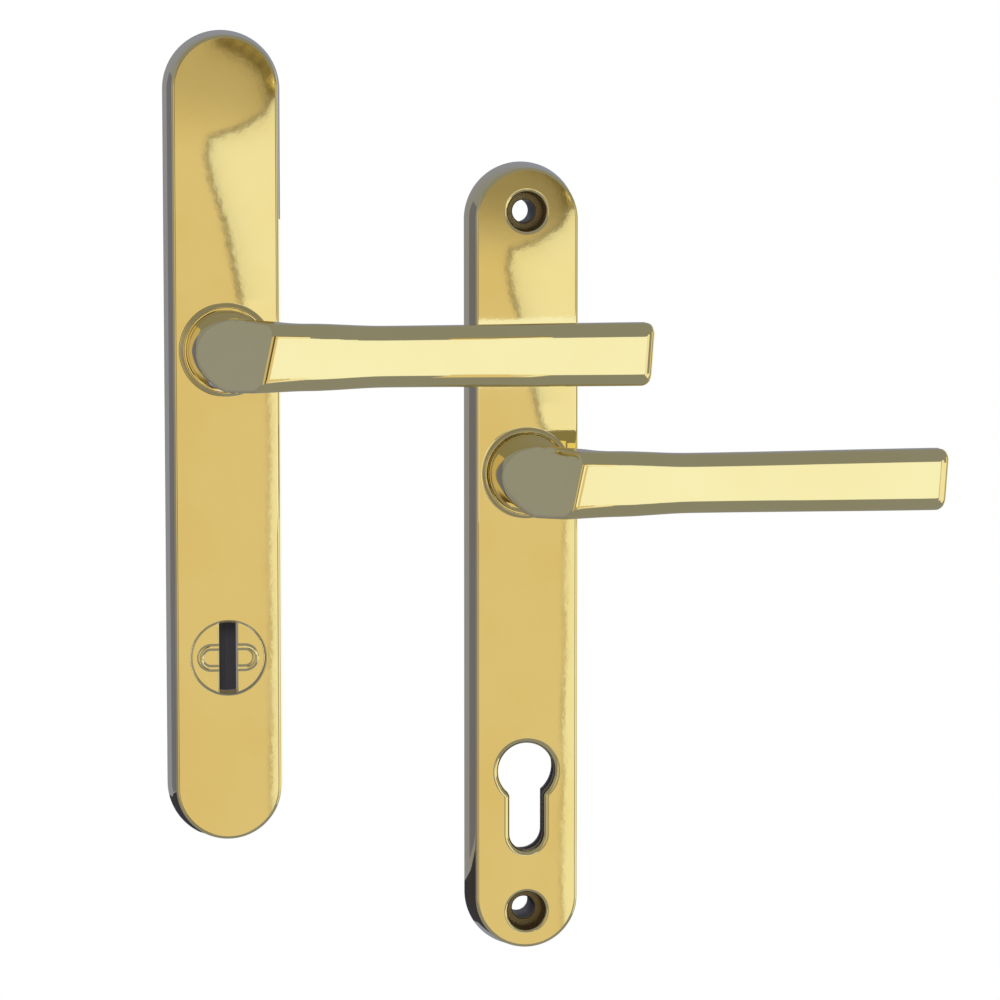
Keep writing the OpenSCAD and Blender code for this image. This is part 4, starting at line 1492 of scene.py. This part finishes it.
def card_grid(name, origin, across, up, columns, rows, colours):
    """A card made of a fine grid whose corners carry their own glow."""
    a, b = np.meshgrid(np.linspace(0, 1, columns), np.linspace(0, 1, rows))
    points = np.array(origin) + a[..., None] * np.array(across) + b[..., None] * np.array(up)
    index = np.arange(rows * columns).reshape(rows, columns)
    quads = np.stack([index[:-1, :-1], index[:-1, 1:], index[1:, 1:], index[1:, :-1]], -1).reshape(-1, 4)
    mesh = bpy.data.meshes.new(name)
    mesh.vertices.add(rows * columns)
    mesh.vertices.foreach_set("co", points.ravel())
    mesh.loops.add(quads.size)
    mesh.loops.foreach_set("vertex_index", quads.ravel())
    mesh.polygons.add(len(quads))
    mesh.polygons.foreach_set("loop_start", np.arange(0, quads.size, 4))
    mesh.update(calc_edges=True)
    glow_values = np.ones((rows * columns, 4))
    glow_values[:, :3] = colours(points[..., 0], points[..., 2]).reshape(-1, 3)
    mesh.attributes.new("glow", "FLOAT_COLOR", "POINT").data.foreach_set("color", glow_values.ravel())
    material = glow(name, (1.0, 1.0, 1.0))
    tree = material.node_tree
    attribute = tree.nodes.new("ShaderNodeAttribute")
    attribute.attribute_name = "glow"
    tree.links.new(attribute.outputs["Color"], tree.nodes["Emission"].inputs["Color"])
    mesh.materials.append(material)
    stage_object(name, mesh)


def plain_card(name, first, second, low, high, tint):
    """An upright card of one colour, from one place on the floor plan to another."""
    corners = [(*first, low), (*second, low), (*second, high), (*first, high)]
    stage_object(name, face_mesh(name, corners, [(0, 1, 2, 3)], glow(name, tint)))


def build_cards():
    """The room that shows in the polish: a front card of painted reflections, walls on the left and behind,
    and soft boxes.
    """
    s = sizes("studio")
    warm, pale = tuple(s.warm_room), tuple(s.window)
    y, low, high = -1.013, -0.46, 0.16
    rise = (0, 0, high - low)
    # This card carries the painted reflections of both plates and both grips, each placed where it is
    # mirrored.
    card_grid("room_front", (0.02, y, low), (0.60, 0, 0), rise, 700, 724, painted_reflections)
    card_grid("room_left", (-0.8, y, low), (0.82, 0, 0), rise, 80, 20, left_colours)
    card_grid("room_side", (-1.2, -0.95, -0.7), (0, 1.65, 0), (0, 0, 1.5), 40, 40, side_colours)
    plain_card("room_right", (0.62, y), (1.3, y), low, high, pale)
    plain_card("soft_box_back", (0.1, 1.5), (0.7, 1.5), -0.5, 0.0, pale)
    plain_card("soft_box_back_right", (0.8, 1.3), (1.5, 0.8), -0.6, 0.5, pale)
    plain_card("soft_box_right", (1.8, 0.3), (1.8, -0.3), -0.6, 0.5, warm)
    plain_card("soft_box_low", (1.5, -0.1), (1.3, -1.1), -0.9, -0.2, pale)
    plain_card("dark_back_left", (-1.6, 1.5), (-0.35, 1.5), -0.45, 0.25, (0.16, 0.17, 0.25))
    plain_card("dark_back_low", (-1.0, 1.5), (0.1, 1.5), -1.2, -0.46, (0.04, 0.04, 0.055))


def build_twins():
    """Plain doubles of the outside half's neck and of the plate around it, seen only by near polish.

    The halves are lit as if each stood alone, so neither shows in the other one's polish."""
    plate, lever = sizes("plate"), sizes("lever")
    for piece in bpy.context.scene.objects:
        if piece.name.startswith(("outside_", "guard_")):
            piece.visible_glossy = False
    skin = 0.00005
    neck_top = 0.028
    neck_gap = 0.0005
    neck = [
        circle_ring(lever.neck_radius - neck_gap, lever.neck_start + neck_gap, steps=64),
        circle_ring(lever.neck_radius - 3 * neck_gap, neck_top, steps=64),
    ]
    wide = COVER_HIGH.x - plate.draft - 0.0012
    low, high = -0.012, 0.03
    face = [
        np.array([(-wide, low, z), (wide, low, z), (wide, high, z), (-wide, high, z)])
        for z in (plate.depth - 0.0004, plate.depth - 0.00002)
    ]
    foot = plate.depth - 0.0003
    crown = COVER_HIGH.z - skin
    collar = [
        circle_ring(r, z, steps=96)
        for r, z in (
            (plate.collar_radius - skin, foot),
            (plate.collar_radius - skin, COVER_HIGH.z - 0.0008),
            (plate.collar_radius - 0.0005, crown),
            (plate.collar_bore + skin, crown),
            (plate.collar_bore + skin, foot),
        )
    ]
    for name, rings in (("neck_twin", neck), ("face_twin", face), ("collar_twin", collar)):
        flats = [] if rings is collar else [[rings[0]], [rings[-1]]]
        mesh = build_mesh(name, "outside", [rings], flats)
        mesh.materials.append(material_of("lever_brass"))
        stage_object(name, mesh)


# ---------------------------------------------------------------------------------------------
# Add-on


class HANDLE_OT_covers(bpy.types.Operator):
    """Build the two cast covers"""

    bl_idname = "handle.covers"
    bl_label = "Covers"

    def execute(self, context):
        for half in HALVES:
            build_cover(half)
        return {"FINISHED"}


class HANDLE_OT_levers(bpy.types.Operator):
    """Build the two cast levers"""

    bl_idname = "handle.levers"
    bl_label = "Levers"

    def execute(self, context):
        for half in HALVES:
            build_lever(half)
        return {"FINISHED"}


class HANDLE_OT_guard(bpy.types.Operator):
    """Build the rotating disc of the cylinder guard"""

    bl_idname = "handle.guard"
    bl_label = "Guard Disc"

    def execute(self, context):
        build_guard_disc()
        return {"FINISHED"}


class HANDLE_OT_gaskets(bpy.types.Operator):
    """Build the foam gaskets"""

    bl_idname = "handle.gaskets"
    bl_label = "Gaskets"

    def execute(self, context):
        for half in HALVES:
            build_gasket(half)
        return {"FINISHED"}


class HANDLE_OT_screws(bpy.types.Operator):
    """Build the screws that hold the bases"""

    bl_idname = "handle.screws"
    bl_label = "Base Screws"

    def execute(self, context):
        for half in HALVES:
            build_base_screws(half)
        return {"FINISHED"}


class HANDLE_OT_springs(bpy.types.Operator):
    """Build the return springs"""

    bl_idname = "handle.springs"
    bl_label = "Return Springs"

    def execute(self, context):
        for half in HALVES:
            build_spring(half)
        return {"FINISHED"}


class HANDLE_OT_paint(bpy.types.Operator):
    """Give the CAD parts that still show their materials"""

    bl_idname = "handle.paint"
    bl_label = "Paint Frame"

    def execute(self, context):
        paint_frame()
        return {"FINISHED"}


class HANDLE_OT_stage(bpy.types.Operator):
    """Set up the camera, backdrop, cards and lights"""

    bl_idname = "handle.stage"
    bl_label = "Stage"

    def execute(self, context):
        build_camera()
        build_studio()
        return {"FINISHED"}


class HANDLE_OT_twins(bpy.types.Operator):
    """Build the plain doubles that stand in for the outside half in the polish close to it"""

    bl_idname = "handle.twins"
    bl_label = "Reflection Doubles"

    def execute(self, context):
        build_twins()
        return {"FINISHED"}


OPERATORS = (
    HANDLE_OT_stage,
    HANDLE_OT_paint,
    HANDLE_OT_covers,
    HANDLE_OT_levers,
    HANDLE_OT_guard,
    HANDLE_OT_gaskets,
    HANDLE_OT_screws,
    HANDLE_OT_springs,
    HANDLE_OT_twins,
)


class HANDLE_PT_panel(bpy.types.Panel):
    """Sizes, colours and pieces of the door handles"""

    bl_label = "Door Handles"
    bl_idname = "HANDLE_PT_panel"
    bl_space_type = "VIEW_3D"
    bl_region_type = "UI"
    bl_category = "Door Handles"

    def draw(self, context):
        layout = self.layout
        for name in GROUPS:
            group = getattr(context.scene, name)
            box = layout.box()
            for key in group.__annotations__:
                box.prop(group, key)
        for operator in OPERATORS:
            layout.operator(operator.bl_idname)


CLASSES = (*GROUPS.values(), *OPERATORS, HANDLE_PT_panel)


def register():
    for cls in CLASSES:
        bpy.utils.register_class(cls)
    for name, group in GROUPS.items():
        setattr(bpy.types.Scene, name, PointerProperty(type=group))


def unregister():
    for name in GROUPS:
        delattr(bpy.types.Scene, name)
    for cls in reversed(CLASSES):
        bpy.utils.unregister_class(cls)


def main():
    register()
    for operator in OPERATORS:
        group, name = operator.bl_idname.split(".")
        if getattr(getattr(bpy.ops, group), name)() != {"FINISHED"}:
            raise RuntimeError(f"{operator.bl_label} did not finish")


if __name__ == "__main__":
    main()
